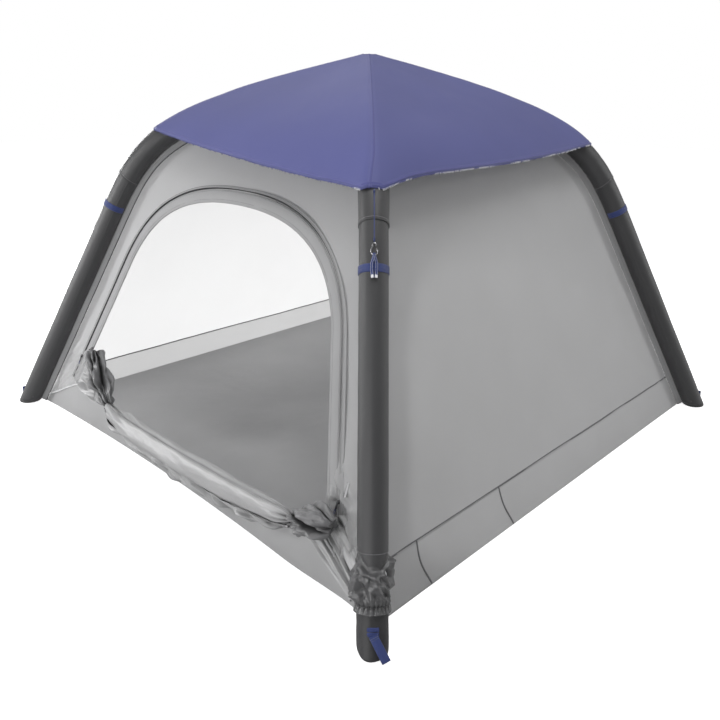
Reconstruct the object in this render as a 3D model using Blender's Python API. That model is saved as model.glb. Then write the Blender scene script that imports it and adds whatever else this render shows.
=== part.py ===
"""Square dome tent on four inflatable legs that rise from the corners and meet at the apex.

Metres, +Z up. The origin is on the ground under the apex, and the doorway faces -Y.
Each leg leans in straight from its foot, bends at the shoulder and runs up the roof. The walls
hang inside the legs on sewn flanges, and a separate fly is hooked over the roof.
"""

import math

import bmesh
import bpy
from mathutils import Matrix, Vector

# Driving dimensions
FEET_SIDE = 2.20
LEG_LEAN = math.radians(28.9)
KNEE_HEIGHT = 0.834
SHOULDER_HANDLE = 0.40
ROOF_HANDLE = 0.89
ROOF_PITCH = math.radians(13.5)
APEX_HEIGHT = 1.455
SLEEVE_RADIUS = 0.043
FLANGE = 0.025
WALL_THICKNESS = 0.003
SEAM_HEIGHT = 0.138
WALL_TOP = 1.195
GAP = 0.0005

# Air legs and their ends
SLEEVE_WALL = 0.0015
BLADDER_RADIUS = 0.0408
BLADDER_WALL = 0.001
HUB_RADIUS = 0.11
HUB_CUT = 0.0006
SOLE_HEIGHT = 0.012
BOOT_TOP = 0.178
BOOT_RADIUS = 0.0425
BOOT_WALL = 0.0012
BOOT_SOLE = 0.005
RING_SIDES = 12
FIN_HALF = 0.0015

# Ground sheet and doorway
SHEET_THICKNESS = 0.004
DOOR_HEM_INSET = 0.04
CORNER_SEAM = 0.035
CORNER_POST = 0.010
DOOR_EDGE_GAP = 0.012
DOOR_SILL = 0.142
DOOR_SILL_HALF = 0.805
DOOR_SPRING = (0.615, 0.66)
DOOR_ARCH_HANDLES = ((0.53, 0.92), (0.30, 0.985))
DOOR_TOP = 0.985
SURROUND_WIDTH = 0.042
SURROUND_THICKNESS = 0.002
ZIP_WIDTH = 0.007
ZIP_THICKNESS = 0.003
SLIDER_HEIGHT = 0.24
LABEL_X = 0.83
LABEL_HEIGHT = 0.295

# Fly and what ties it down
FLY_CLEARANCE = 0.004
FLY_THICKNESS = 0.003
FLY_INNER_STATION = 0.06
FLY_CORNER_HEIGHT = {
    "front_right": 1.09,
    "back_right": 1.14,
    "back_left": 1.14,
    "front_left": 1.175,
}
COLLAR_HEIGHTS = (1.012, 1.16)
BAND_HEIGHT = 0.901
BAND_WIDTH = 0.024
TRIM_THICKNESS = 0.0015
TRIM_HALF_WRAP = math.radians(165)
LOOP_BELOW_BAND = 0.033
LOOP_ABOVE_BAND = 0.038
LOOP_WIDTH = 0.012
LOOP_GAP = 0.004
HOOK_HALF_WIDTH = 0.009
HOOK_EYE_RADIUS = 0.005
HOOK_EYE_HEIGHT = 0.030
HOOK_DROP = 0.003
HOOK_WIRE = 0.00125
CORD_RADIUS = 0.0015
CORD_STAND_OFF = 0.006

# Peg loops and valve
PEG_LOOP_BOTTOM = 0.0045
PEG_LOOP_TOP = 0.058
PEG_LOOP_GAP = 0.008
PEG_LOOP_WIDTH = 0.018
# The boot's loop is wider, and hangs aslant down its front from level with this height on the leg's line
BOOT_LOOP_LEVEL = 0.0425
BOOT_LOOP_LENGTH = 0.070
BOOT_LOOP_WIDTH = 0.024
BOOT_LOOP_SLANT = math.radians(28)
WEBBING_THICKNESS = 0.0016
VALVE_HEIGHT = 0.13
VALVE_HOLE_RADIUS = 0.0095

LEGS = {
    "front_right": (1, -1),
    "back_right": (1, 1),
    "back_left": (-1, 1),
    "front_left": (-1, -1),
}
# Where each leg's hook and cord sit round the sleeve, from straight out towards its neighbour
HOOK_ANGLE = {
    "front_right": 0.0,
    "back_right": math.radians(50),
    "back_left": 0.0,
    "front_left": math.radians(-50),
}
# The side of each plain foot that its peg loop is sewn to
PEG_LOOP_SIDE = {
    "back_right": Vector((0, 1, 0)),
    "back_left": Vector((0, 1, 0)),
    "front_left": Vector((-1, 0, 0)),
}

UP = Vector((0, 0, 1))
COLOURS = {
    "wall_fabric": ((0.40, 0.40, 0.41), 0.75, 0.0),
    "sleeve_fabric": ((0.09, 0.09, 0.095), 0.55, 0.0),
    "fly_fabric": ((0.16, 0.17, 0.42), 0.6, 0.0),
    "floor_fabric": ((0.18, 0.18, 0.19), 0.6, 0.0),
    "net_fabric": ((0.35, 0.35, 0.37), 0.8, 0.0),
    "webbing": ((0.05, 0.08, 0.26), 0.7, 0.0),
    "cord": ((0.04, 0.07, 0.22), 0.7, 0.0),
    "bladder": ((0.75, 0.76, 0.78), 0.3, 0.0),
    "hook_metal": ((0.6, 0.6, 0.62), 0.3, 1.0),
    "black_plastic": ((0.03, 0.03, 0.03), 0.45, 0.0),
    "trim_fabric": ((0.20, 0.20, 0.21), 0.7, 0.0),
    "label_fabric": ((0.55, 0.55, 0.55), 0.7, 0.0),
}


def clear_scene():
    for obj in list(bpy.data.objects):
        bpy.data.objects.remove(obj, do_unlink=True)


def material(name):
    found = bpy.data.materials.get(name)
    if found:
        return found
    colour, roughness, metallic = COLOURS[name]
    made = bpy.data.materials.new(name)
    made.use_nodes = True
    shader = made.node_tree.nodes["Principled BSDF"]
    shader.inputs["Base Color"].default_value = (*colour, 1.0)
    shader.inputs["Roughness"].default_value = roughness
    shader.inputs["Metallic"].default_value = metallic
    return made


def add_object(name, mesh_builder, finish, origin=Vector((0, 0, 0))):
    """One object from a bmesh in world coordinates, with its own origin at the point given."""
    bmesh.ops.recalc_face_normals(mesh_builder, faces=mesh_builder.faces)
    bmesh.ops.translate(mesh_builder, verts=mesh_builder.verts, vec=-origin)
    mesh = bpy.data.meshes.new(name)
    mesh_builder.to_mesh(mesh)
    mesh_builder.free()
    mesh.shade_smooth()
    mesh.set_sharp_from_angle(angle=math.radians(35))
    mesh.materials.append(material(finish))
    obj = bpy.data.objects.new(name, mesh)
    obj.location = origin
    bpy.context.scene.collection.objects.link(obj)
    return obj


def bridge(made, first, second, closed=True):
    """Quads between two rows of vertices of equal length."""
    count = len(first)
    for i in range(count if closed else count - 1):
        j = (i + 1) % count
        made.faces.new((first[i], first[j], second[j], second[i]))


def ring_vertices(made, rings):
    return [[made.verts.new(point) for point in ring] for ring in rings]


def solid_loft(rings):
    """A closed body through rings of points, with a flat face at each end."""
    made = bmesh.new()
    rows = ring_vertices(made, rings)
    for first, second in zip(rows, rows[1:]):
        bridge(made, first, second)
    made.faces.new(rows[0])
    made.faces.new(rows[-1])
    return made


def hollow_loft(outer, inner, closed_start=False):
    """A tube with a wall. Its far end is open, and its near end is open or has a floor."""
    made = bmesh.new()
    outside = ring_vertices(made, outer)
    inside = ring_vertices(made, inner)
    for rows in (outside, inside):
        for first, second in zip(rows, rows[1:]):
            bridge(made, first, second)
    bridge(made, outside[-1], inside[-1])
    if closed_start:
        made.faces.new(outside[0])
        made.faces.new(inside[0])
    else:
        bridge(made, outside[0], inside[0])
    return made


def sheet_solid(outer, inner):
    """A closed sheet between two grids of points with the same rows and columns."""
    made = bmesh.new()
    front = ring_vertices(made, outer)
    back = ring_vertices(made, inner)
    for rows in (front, back):
        for first, second in zip(rows, rows[1:]):
            bridge(made, first, second, closed=False)
    bridge(made, front[0], back[0], closed=False)
    bridge(made, front[-1], back[-1], closed=False)
    for side in (0, -1):
        bridge(made, [row[side] for row in front], [row[side] for row in back], closed=False)
    return made


def cubic(points, t):
    a, b, c, d = (Vector(point) for point in points)
    s = 1 - t
    place = a * s**3 + b * (3 * s * s * t) + c * (3 * s * t * t) + d * t**3
    heading = (b - a) * (3 * s * s) + (c - b) * (6 * s * t) + (d - c) * (3 * t * t)
    return place, heading.normalized()


# ---- The legs' centre line, as (radius, height) in the vertical plane of a diagonal ----

FOOT_RADIUS = FEET_SIDE / math.sqrt(2)
KNEE = (FOOT_RADIUS - KNEE_HEIGHT * math.tan(LEG_LEAN), KNEE_HEIGHT)
ROOF_CURVE = (
    KNEE,
    (
        KNEE[0] - SHOULDER_HANDLE * math.sin(LEG_LEAN),
        KNEE[1] + SHOULDER_HANDLE * math.cos(LEG_LEAN),
    ),
    (
        ROOF_HANDLE * math.cos(ROOF_PITCH),
        APEX_HEIGHT - ROOF_HANDLE * math.sin(ROOF_PITCH),
    ),
    (0.0, APEX_HEIGHT),
)


def centre_line(t):
    """Place and heading at t: 0 to 1 up the straight leg, and 1 to 2 over the shoulder to the apex."""
    if t <= 1:
        foot = Vector((FOOT_RADIUS, 0))
        knee = Vector(KNEE)
        return foot.lerp(knee, t) if t >= 0 else foot + (knee - foot) * t, (knee - foot).normalized()
    return cubic(ROOF_CURVE, t - 1)


def solve(function, target, low, high):
    """The t at which a function that rises or falls steadily reaches the target."""
    rising = function(high) > function(low)
    for _ in range(50):
        middle = (low + high) / 2
        if (function(middle) < target) == rising:
            low = middle
        else:
            high = middle
    return (low + high) / 2


def t_at_height(height):
    return solve(lambda t: centre_line(t)[0].y, height, -0.1, 2)


def t_at_radius(radius):
    return solve(lambda t: centre_line(t)[0].x, radius, 0, 2)


def leg_frame(leg, t):
    """Centre, heading to the apex, outward normal and sideways direction on one leg."""
    sx, sy = LEGS[leg]
    away = Vector((sx, sy, 0)).normalized()
    place, heading = centre_line(t)
    centre = away * place.x + UP * place.y
    along = away * heading.x + UP * heading.y
    normal = away * heading.y - UP * heading.x
    return centre, along, normal, UP.cross(away)


def circle_on_leg(leg, t, radius, angles, ground=None):
    """Points round a leg. With ground set, the ring is cut level at that height."""
    centre, along, normal, side = leg_frame(leg, t)
    points = []
    for angle in angles:
        point = centre + radius * (math.cos(angle) * normal + math.sin(angle) * side)
        if ground is not None:
            point = point + along * ((ground - point.z) / along.z)
        points.append(point)
    return points


def spread(start, end, count):
    return [start + (end - start) * i / (count - 1) for i in range(count)]


def full_circle(count=RING_SIDES):
    return [2 * math.pi * (i + 0.5) / count for i in range(count)]


LEG_STATIONS = [1.0, 1.14, 1.27, 1.38, 1.48, 1.58, 1.68, 1.80]


# ---- The walls' corner line and half width at a height ----


def corner_line(t, extra=0.0):
    """(radius, height) of the line where two walls meet, inside the leg."""
    place, heading = centre_line(t)
    inward = SLEEVE_RADIUS + FLANGE + extra
    return Vector((place.x - heading.y * inward, place.y + heading.x * inward))


def half_width(height):
    t = solve(lambda value: corner_line(value).y, height, -0.1, 2)
    return corner_line(t).x / math.sqrt(2)


# ---- Air legs ----


def sleeve_ring(leg, t, radius, finned, ground=None):
    """A circle with a narrow fin on the tent's side, which is the flange that holds the walls."""
    centre, along, normal, side = leg_frame(leg, t)
    gap = math.pi - math.asin(FIN_HALF / radius)
    half = RING_SIDES // 2
    angles = [math.radians(360 / RING_SIDES) * (i + 0.5) for i in range(half)]
    right = circle_on_leg(leg, t, radius, [*angles, gap], ground)
    left = circle_on_leg(leg, t, radius, [-gap, *[-angle for angle in reversed(angles)]], ground)
    reach = SLEEVE_RADIUS + FLANGE - 0.0015 if finned else radius
    half_fin = FIN_HALF if finned else FIN_HALF / 3
    fin = []
    for offset in (half_fin, -half_fin):
        point = centre - normal * reach + side * offset
        if ground is not None:
            point = point + along * ((ground - point.z) / along.z)
        fin.append(point)
    return [*right, *fin, *left]


def make_sleeves():
    for leg in LEGS:
        if leg == "front_right":
            start, ground = t_at_height(BOOT_TOP + 0.002), None
        else:
            start, ground = 0.0, SOLE_HEIGHT + GAP
        stations = [start, *LEG_STATIONS, t_at_radius(HUB_RADIUS)]
        outer = []
        inner = []
        for i, t in enumerate(stations):
            level = ground if i == 0 else None
            outer.append(sleeve_ring(leg, t, SLEEVE_RADIUS, True, level))
            inner.append(sleeve_ring(leg, t, SLEEVE_RADIUS - SLEEVE_WALL, False, level))
        add_object("sleeve_" + leg, hollow_loft(outer, inner), "sleeve_fabric")


def make_bladders():
    angles = full_circle()
    for leg in LEGS:
        stations = [0.0, *LEG_STATIONS, t_at_radius(HUB_RADIUS)]
        floor = SOLE_HEIGHT + 0.004
        outer = []
        inner = []
        for i, t in enumerate(stations):
            outer.append(circle_on_leg(leg, t, BLADDER_RADIUS, angles, floor if i == 0 else None))
            level = floor + BLADDER_WALL if i == 0 else None
            inner.append(circle_on_leg(leg, t, BLADDER_RADIUS - BLADDER_WALL, angles, level))
        made = hollow_loft(outer, inner, closed_start=True)
        bladder = add_object("air_bladder_" + leg, made, "bladder")
        if leg == "front_right":
            cut_valve_hole(bladder)


def hub_hull(radius, extra_reach):
    """The hull of the four leg ends and the peak above them. Extra reach pushes the ends out level."""
    made = bmesh.new()
    t = t_at_radius(HUB_RADIUS - GAP)
    for leg, (sx, sy) in LEGS.items():
        away = Vector((sx, sy, 0)).normalized()
        for point in circle_on_leg(leg, t, radius, full_circle()):
            made.verts.new(point)
            made.verts.new(point + away * extra_reach)
    made.verts.new((0, 0, APEX_HEIGHT + radius / math.cos(ROOF_PITCH)))
    hull = bmesh.ops.convex_hull(made, input=made.verts)
    loose = [item for item in hull["geom_interior"] if isinstance(item, bmesh.types.BMVert)]
    bmesh.ops.delete(made, geom=loose, context="VERTS")
    return made


def make_hub(name, radius, wall, finish):
    """Where the four legs join: one shell, open towards each leg."""
    shell = add_object(name, hub_hull(radius, 0.0), finish)
    cutter = add_object(name + "_cutter", hub_hull(radius - wall, HUB_CUT), finish)
    cut(shell, cutter)


def cut(obj, cutter):
    cutter.hide_render = True
    cutter.display_type = "WIRE"
    modifier = obj.modifiers.new("cut", "BOOLEAN")
    modifier.operation = "DIFFERENCE"
    modifier.object = cutter


def make_feet():
    angles = full_circle()
    for leg in LEGS:
        if leg == "front_right":
            stations = [0.0, t_at_height(BOOT_TOP)]
            outer = []
            inner = []
            for i, t in enumerate(stations):
                outer.append(circle_on_leg(leg, t, BOOT_RADIUS, angles, 0.0 if i == 0 else None))
                level = BOOT_SOLE if i == 0 else None
                inner.append(circle_on_leg(leg, t, BOOT_RADIUS - BOOT_WALL, angles, level))
            boot = add_object("foot_" + leg, hollow_loft(outer, inner, True), "sleeve_fabric")
            cut_valve_hole(boot)
        else:
            rings = [circle_on_leg(leg, 0.0, SLEEVE_RADIUS, angles, level) for level in (0.0, SOLE_HEIGHT)]
            add_object("foot_" + leg, solid_loft(rings), "sleeve_fabric")


# ---- Valve, under its cuff on the front right foot ----


def valve_place():
    centre, along, normal, side = leg_frame("front_right", t_at_height(VALVE_HEIGHT))
    return centre + normal * BOOT_RADIUS, along, normal, side


def turned(origin, axis, across, profile, sides=14, on_axis=False):
    """A body of revolution: profile points are (radius, height along the axis)."""
    other = axis.cross(across)
    made = bmesh.new()
    rows = []
    for radius, height in profile:
        middle = origin + axis * height
        if on_axis and radius == 0:
            rows.append([made.verts.new(middle)])
            continue
        angles = [2 * math.pi * i / sides for i in range(sides)]
        rows.append(
            [made.verts.new(middle + radius * (math.cos(a) * across + math.sin(a) * other)) for a in angles]
        )
    if not on_axis:
        rows.append(rows[0])
    for first, second in zip(rows, rows[1:]):
        if len(first) == 1 or len(second) == 1:
            tip, ring = (first[0], second) if len(first) == 1 else (second[0], first)
            for i in range(len(ring)):
                made.faces.new((tip, ring[i], ring[(i + 1) % len(ring)]))
        else:
            bridge(made, first, second)
    return made


def cut_valve_hole(obj):
    origin, along, normal, _ = valve_place()
    profile = [(0, -0.02), (VALVE_HOLE_RADIUS, -0.02), (VALVE_HOLE_RADIUS, 0.02), (0, 0.02)]
    made = turned(origin, normal, along, profile, on_axis=True)
    cut(obj, add_object(obj.name + "_valve_cutter", made, "black_plastic"))


def make_valve():
    origin, along, normal, _ = valve_place()
    neck, bore, port = 0.0085, 0.0055, 0.0025
    body = [
        (0.009, -0.010),
        (0.009, GAP),
        (0.015, GAP),
        (0.015, 0.0025),
        (neck, 0.0025),
        (neck, 0.0095),
        (bore, 0.0095),
        (bore, -0.006),
        (port, -0.006),
        (port, -0.010),
    ]
    plunger = [(0, -0.009), (0.0019, -0.009), (0.0019, -0.0015)]
    plunger += [(0.005, -0.0015), (0.005, 0.0015), (0, 0.0015)]
    cap_out, cap_in = 0.0115, 0.0095
    cap = [(0, 0.0105), (cap_in, 0.0105), (cap_in, 0.0032)]
    cap += [(cap_out, 0.0032), (cap_out, 0.0125), (0, 0.0125)]
    add_object("valve_body", turned(origin, normal, along, body), "black_plastic", origin)
    add_object("valve_plunger", turned(origin, normal, along, plunger, 10, True), "black_plastic", origin)
    add_object("valve_cap", turned(origin, normal, along, cap, on_axis=True), "black_plastic", origin)


def make_cuff():
    """The gathered cuff: fuller towards the outside, close to the foot towards the tent."""
    sections = [
        (0.174, 0.0440, 0.002),
        (0.160, 0.0450, 0.018),
        (0.138, 0.0460, 0.028),
        (0.118, 0.0460, 0.030),
        (0.100, 0.0455, 0.020),
        (0.088, 0.0440, 0.003),
    ]
    angles = full_circle(18)
    shell = []
    for extra in (0.002, 0.0):
        rings = []
        for height, least, bulge in sections:
            centre, _, normal, side = leg_frame("front_right", t_at_height(height))
            ring = []
            for angle in angles:
                radius = least + extra + bulge * (1 + math.cos(angle)) / 2
                ring.append(centre + radius * (math.cos(angle) * normal + math.sin(angle) * side))
            rings.append(ring)
        shell.append(rings)
    add_object("valve_cuff", hollow_loft(*shell), "sleeve_fabric")


# ---- Trim round the legs: collars, bands, loops, hooks and cords ----


def ring_along_sleeve(leg, t, radius, angles):
    """Points round a leg on the straight facets between its stations."""
    stations = [0.0, *LEG_STATIONS, t_at_radius(HUB_RADIUS)]
    i = max(k for k, station in enumerate(stations[:-1]) if station <= t)
    share = (t - stations[i]) / (stations[i + 1] - stations[i])
    low = circle_on_leg(leg, stations[i], radius, angles)
    high = circle_on_leg(leg, stations[i + 1], radius, angles)
    return [a.lerp(b, share) for a, b in zip(low, high)]


def wrap_on_leg(leg, start, end, inner_radius, thickness):
    """A strip wrapped round a leg, open where the leg's flange passes."""
    angles = spread(-TRIM_HALF_WRAP, TRIM_HALF_WRAP, RING_SIDES)
    rings = []
    for t in [start, *[station for station in LEG_STATIONS if start < station < end], end]:
        outer = ring_along_sleeve(leg, t, inner_radius + thickness, angles)
        inner = ring_along_sleeve(leg, t, inner_radius, angles)
        rings.append([*outer, *reversed(inner)])
    return solid_loft(rings)


def make_collars_and_bands():
    span = BAND_WIDTH / 2 * math.cos(LEG_LEAN)
    low, high = (t_at_height(height) for height in COLLAR_HEIGHTS)
    edges = [t_at_height(BAND_HEIGHT - span), t_at_height(BAND_HEIGHT + span)]
    inner_radius = SLEEVE_RADIUS + GAP
    for leg in LEGS:
        collar = wrap_on_leg(leg, low, high, inner_radius, TRIM_THICKNESS)
        add_object("collar_" + leg, collar, "sleeve_fabric")
        band = wrap_on_leg(leg, *edges, inner_radius, TRIM_THICKNESS)
        add_object("band_" + leg, band, "webbing")


def stadium(origin, out, up, bottom, top, half_depth, steps=4):
    """A flat loop's outline in the plane of out and up: two straight runs and two half rounds."""
    points = []
    for i in range(steps + 1):
        angle = math.pi * i / steps
        rise = top + half_depth * math.sin(angle)
        points.append(origin + out * half_depth * math.cos(angle) + up * rise)
    for i in range(steps + 1):
        angle = math.pi + math.pi * i / steps
        rise = bottom + half_depth * math.sin(angle)
        points.append(origin + out * half_depth * math.cos(angle) + up * rise)
    return points


def strap_loop(origin, out, up, bottom, top, gap, thickness, width):
    """Webbing folded into a flat loop. The bottom and top are the centres of its two folds."""
    across = up.cross(out)
    outer = []
    inner = []
    for offset in (-width / 2, width / 2):
        middle = origin + across * offset
        outer.append(stadium(middle, out, up, bottom, top, gap / 2 + thickness))
        inner.append(stadium(middle, out, up, bottom, top, gap / 2))
    return hollow_loft(outer, inner)


def hook_axes(leg, height, stand_off):
    """A point beside the leg where its hook hangs, with the directions out, up and across."""
    centre, along, normal, side = leg_frame(leg, t_at_height(height))
    angle = HOOK_ANGLE[leg]
    out = math.cos(angle) * normal + math.sin(angle) * side
    return centre + out * (SLEEVE_RADIUS + stand_off), out, along, along.cross(out)


def wire(path, radius, sides=6):
    """A round wire through the points, with its rings kept from twisting."""
    rings = []
    reference = None
    for i, point in enumerate(path):
        ahead = (path[min(i + 1, len(path) - 1)] - path[max(i - 1, 0)]).normalized()
        if reference is None:
            reference = ahead.orthogonal().normalized()
        reference = (reference - ahead * reference.dot(ahead)).normalized()
        other = ahead.cross(reference)
        angles = [2 * math.pi * k / sides for k in range(sides)]
        rings.append([point + radius * (math.cos(a) * reference + math.sin(a) * other) for a in angles])
    return solid_loft(rings)


def hook_outline():
    """The hook in its own plane: an eye at the top, a shank, and an open bend at the bottom."""
    points = []
    for i in range(9):
        angle = math.radians(-50 + 290 * i / 8)
        eye_up = HOOK_EYE_HEIGHT + HOOK_EYE_RADIUS * math.sin(angle)
        points.append((HOOK_EYE_RADIUS * math.cos(angle), eye_up))
    points.append((-HOOK_HALF_WIDTH, HOOK_EYE_HEIGHT - 0.012))
    for i in range(7):
        angle = math.radians(180 + 180 * i / 6)
        points.append((HOOK_HALF_WIDTH * math.cos(angle), HOOK_HALF_WIDTH * (1 + math.sin(angle))))
    points.append((HOOK_HALF_WIDTH, 0.014))
    points.append((HOOK_HALF_WIDTH - 0.002, 0.018))
    return points


def make_fly_ties():
    reach = WEBBING_THICKNESS + LOOP_GAP / 2
    stand_off = TRIM_THICKNESS + 2 * GAP + reach
    for leg in LEGS:
        origin, out, up, across = hook_axes(leg, BAND_HEIGHT, stand_off)
        bottom = -LOOP_BELOW_BAND + reach
        top = LOOP_ABOVE_BAND - reach
        loop = strap_loop(origin, out, up, bottom, top, LOOP_GAP, WEBBING_THICKNESS, LOOP_WIDTH)
        add_object("band_loop_" + leg, loop, "webbing")
        base = origin + up * (top - HOOK_DROP)
        path = [base + across * x + up * y for x, y in hook_outline()]
        add_object("fly_hook_" + leg, wire(path, HOOK_WIRE), "hook_metal")
        eye = base + up * (HOOK_EYE_HEIGHT + HOOK_EYE_RADIUS + HOOK_WIRE + CORD_RADIUS + GAP)
        add_cord("fly_cord_" + leg, cord_route(leg, eye))


def cord_route(leg, low_end):
    """From the fly's corner down the outside of the leg to the hook's eye."""
    angle = HOOK_ANGLE[leg]

    def beside(t):
        centre, _, normal, side = leg_frame(leg, t)
        out = math.cos(angle) * normal + math.sin(angle) * side
        return centre + out * (SLEEVE_RADIUS + CORD_STAND_OFF)

    start = t_at_height(FLY_CORNER_HEIGHT[leg] - 0.004)
    end = solve(lambda t: beside(t).z, low_end.z, 0.5, start)
    shift = low_end - beside(end)
    return [beside(start + (end - start) * share) + shift * share for share in spread(0.0, 1.0, 18)]


def add_cord(name, points):
    curve = bpy.data.curves.new(name, "CURVE")
    curve.dimensions = "3D"
    curve.bevel_depth = CORD_RADIUS
    curve.bevel_resolution = 2
    curve.use_fill_caps = True
    spline = curve.splines.new("POLY")
    spline.points.add(len(points) - 1)
    for knot, point in zip(spline.points, points):
        knot.co = (*point, 1.0)
    curve.materials.append(material("cord"))
    obj = bpy.data.objects.new(name, curve)
    bpy.context.scene.collection.objects.link(obj)


def make_peg_loops():
    radius = PEG_LOOP_GAP / 2 + WEBBING_THICKNESS
    for leg, out in PEG_LOOP_SIDE.items():
        centre, along, _, _ = leg_frame(leg, t_at_height(PEG_LOOP_BOTTOM))
        # Where the leaning leg's surface is, level with the loop's lowest point
        surface = SLEEVE_RADIUS / math.sqrt(1 - along.dot(out) ** 2)
        origin = centre + out * (surface + 0.001 + radius)
        origin.z = 0
        bottom = PEG_LOOP_BOTTOM + radius
        top = PEG_LOOP_TOP - radius
        loop = strap_loop(origin, out, UP, bottom, top, PEG_LOOP_GAP, WEBBING_THICKNESS, PEG_LOOP_WIDTH)
        add_object("peg_loop_" + leg, loop, "webbing", origin + UP * top)
    make_boot_loop(radius)


def make_boot_loop(radius):
    """The boot's loop, in the plane that touches the front of the leaning leg."""
    centre, along, normal, side = leg_frame("front_right", t_at_height(BOOT_LOOP_LEVEL))
    up = along * math.cos(BOOT_LOOP_SLANT) - side * math.sin(BOOT_LOOP_SLANT)
    hinge = centre + normal * (BOOT_RADIUS + 0.001 + radius)
    loop = strap_loop(
        hinge, normal, up, -BOOT_LOOP_LENGTH, 0.0, PEG_LOOP_GAP, WEBBING_THICKNESS, BOOT_LOOP_WIDTH
    )
    add_object("peg_loop_front_right", loop, "webbing", hinge)


# ---- Ground sheet, walls and roof net ----


def door_seam_height(x):
    """The top of the ground sheet's door side, which runs down to the corners."""
    start = DOOR_SILL_HALF - 0.005
    end = half_width(CORNER_SEAM) - CORNER_POST
    share = min(max((abs(x) - start) / (end - start), 0), 1)
    return SEAM_HEIGHT + (CORNER_SEAM - SEAM_HEIGHT) * share


def sheet_perimeter():
    """Points round the ground sheet: foot and top of its side, and the way outwards."""
    low = half_width(0.0)
    high = half_width(SEAM_HEIGHT)
    points = []
    end = half_width(CORNER_SEAM) - CORNER_POST
    sill = DOOR_SILL_HALF - 0.005
    for x in (-end, -sill, -0.55, -0.28, 0.0, 0.28, 0.55, sill, end):
        top = door_seam_height(x)
        hem = low - DOOR_HEM_INSET * (1 - (x / low) ** 2)
        foot_x = x * (low - CORNER_POST) / end if abs(x) == end else x
        points.append((Vector((foot_x, -hem, 0)), Vector((x, -half_width(top), top)), Vector((0, -1, 0))))
    corners = [((1, -1), (1, 0)), ((1, 1), (0, 1)), ((-1, 1), (-1, 0)), ((-1, -1), None)]
    for (sx, sy), following in corners:
        foot = Vector((sx * low, sy * low, 0))
        top = Vector((sx * high, sy * high, SEAM_HEIGHT))
        points.append((foot, top, Vector((sx, sy, 0))))
        if following:
            way = Vector((*following, 0))
            run = Vector((-way.y, way.x, 0))
            for share in (-0.5, 0.0, 0.5):
                foot = (way + run * share) * low
                top = (way + run * share) * high
                points.append((foot, Vector((top.x, top.y, SEAM_HEIGHT)), way))
    return points


def make_groundsheet():
    points = sheet_perimeter()
    rise = UP * SHEET_THICKNESS
    outer_foot = [foot for foot, _, _ in points]
    outer_top = [top for _, top, _ in points]
    inner_top = [top - way * SHEET_THICKNESS for _, top, way in points]
    inner_foot = [foot - way * SHEET_THICKNESS + rise for foot, _, way in points]
    made = bmesh.new()
    rows = ring_vertices(made, [outer_foot, outer_top, inner_top, inner_foot])
    for first, second in zip(rows, rows[1:]):
        bridge(made, first, second)
    made.faces.new(rows[0])
    made.faces.new(rows[-1])
    add_object("groundsheet", made, "floor_fabric")


def make_plain_walls():
    heights = [SEAM_HEIGHT + GAP, 0.45, 0.80, 0.88, 0.95, 1.01, 1.06, 1.105, 1.15, WALL_TOP]
    shares = spread(-1.0, 1.0, 4)
    for turns, name in ((1, "wall_right"), (2, "wall_back"), (3, "wall_left")):
        turn = Matrix.Rotation(math.pi / 2 * turns, 3, "Z")
        outer = []
        inner = []
        for height in heights:
            width = half_width(height)
            edge = width - GAP
            outer.append([turn @ Vector((edge * share, -width, height)) for share in shares])
            depth = width - WALL_THICKNESS
            inside = edge - WALL_THICKNESS
            inner.append([turn @ Vector((inside * share, -depth, height)) for share in shares])
        add_object(name, sheet_solid(outer, inner), "wall_fabric")


def arch_points():
    """The doorway's edge from the sill up to the top on the right, as (x, z, share of the arch)."""
    points = []
    for share in spread(0.0, 1.0, 5)[:-1]:
        x = DOOR_SILL_HALF + (DOOR_SPRING[0] - DOOR_SILL_HALF) * share
        points.append((x, DOOR_SILL + (DOOR_SPRING[1] - DOOR_SILL) * share, share))
    curve = (DOOR_SPRING, *DOOR_ARCH_HANDLES, (0.0, DOOR_TOP))
    for share in spread(0.0, 1.0, 11):
        place, _ = cubic(curve, share)
        points.append((place.x, place.y, 1 + share))
    return points


def door_wall_edge(share):
    """The door wall's outer edge beside the same share of the arch: up the side, then along the top."""
    corner = CORNER_SEAM + 0.004
    if share <= 1:
        height = corner + (DOOR_SPRING[1] - corner) * share
        return half_width(height) - DOOR_EDGE_GAP, height
    if share <= 1.5:
        height = DOOR_SPRING[1] + (WALL_TOP - DOOR_SPRING[1]) * (share - 1) * 2
        return half_width(height) - DOOR_EDGE_GAP, height
    return (half_width(WALL_TOP) - DOOR_EDGE_GAP) * (2 - share) * 2, WALL_TOP


def make_door_wall():
    right = []
    for x, z, share in arch_points():
        edge_x, edge_z = door_wall_edge(share)
        right.append([(x + (edge_x - x) * v, z + (edge_z - z) * v) for v in (0.0, 0.3, 0.6, 0.8, 1.0)])
    left = [[(-x, z) for x, z in row] for row in reversed(right[:-1])]
    outer = []
    inner = []
    for row in [*right, *left]:
        outer.append([Vector((x, -half_width(z), z)) for x, z in row])
        inner.append([Vector((x, WALL_THICKNESS - half_width(z), z)) for x, z in row])
    add_object("wall_door", sheet_solid(outer, inner), "wall_fabric")


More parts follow.
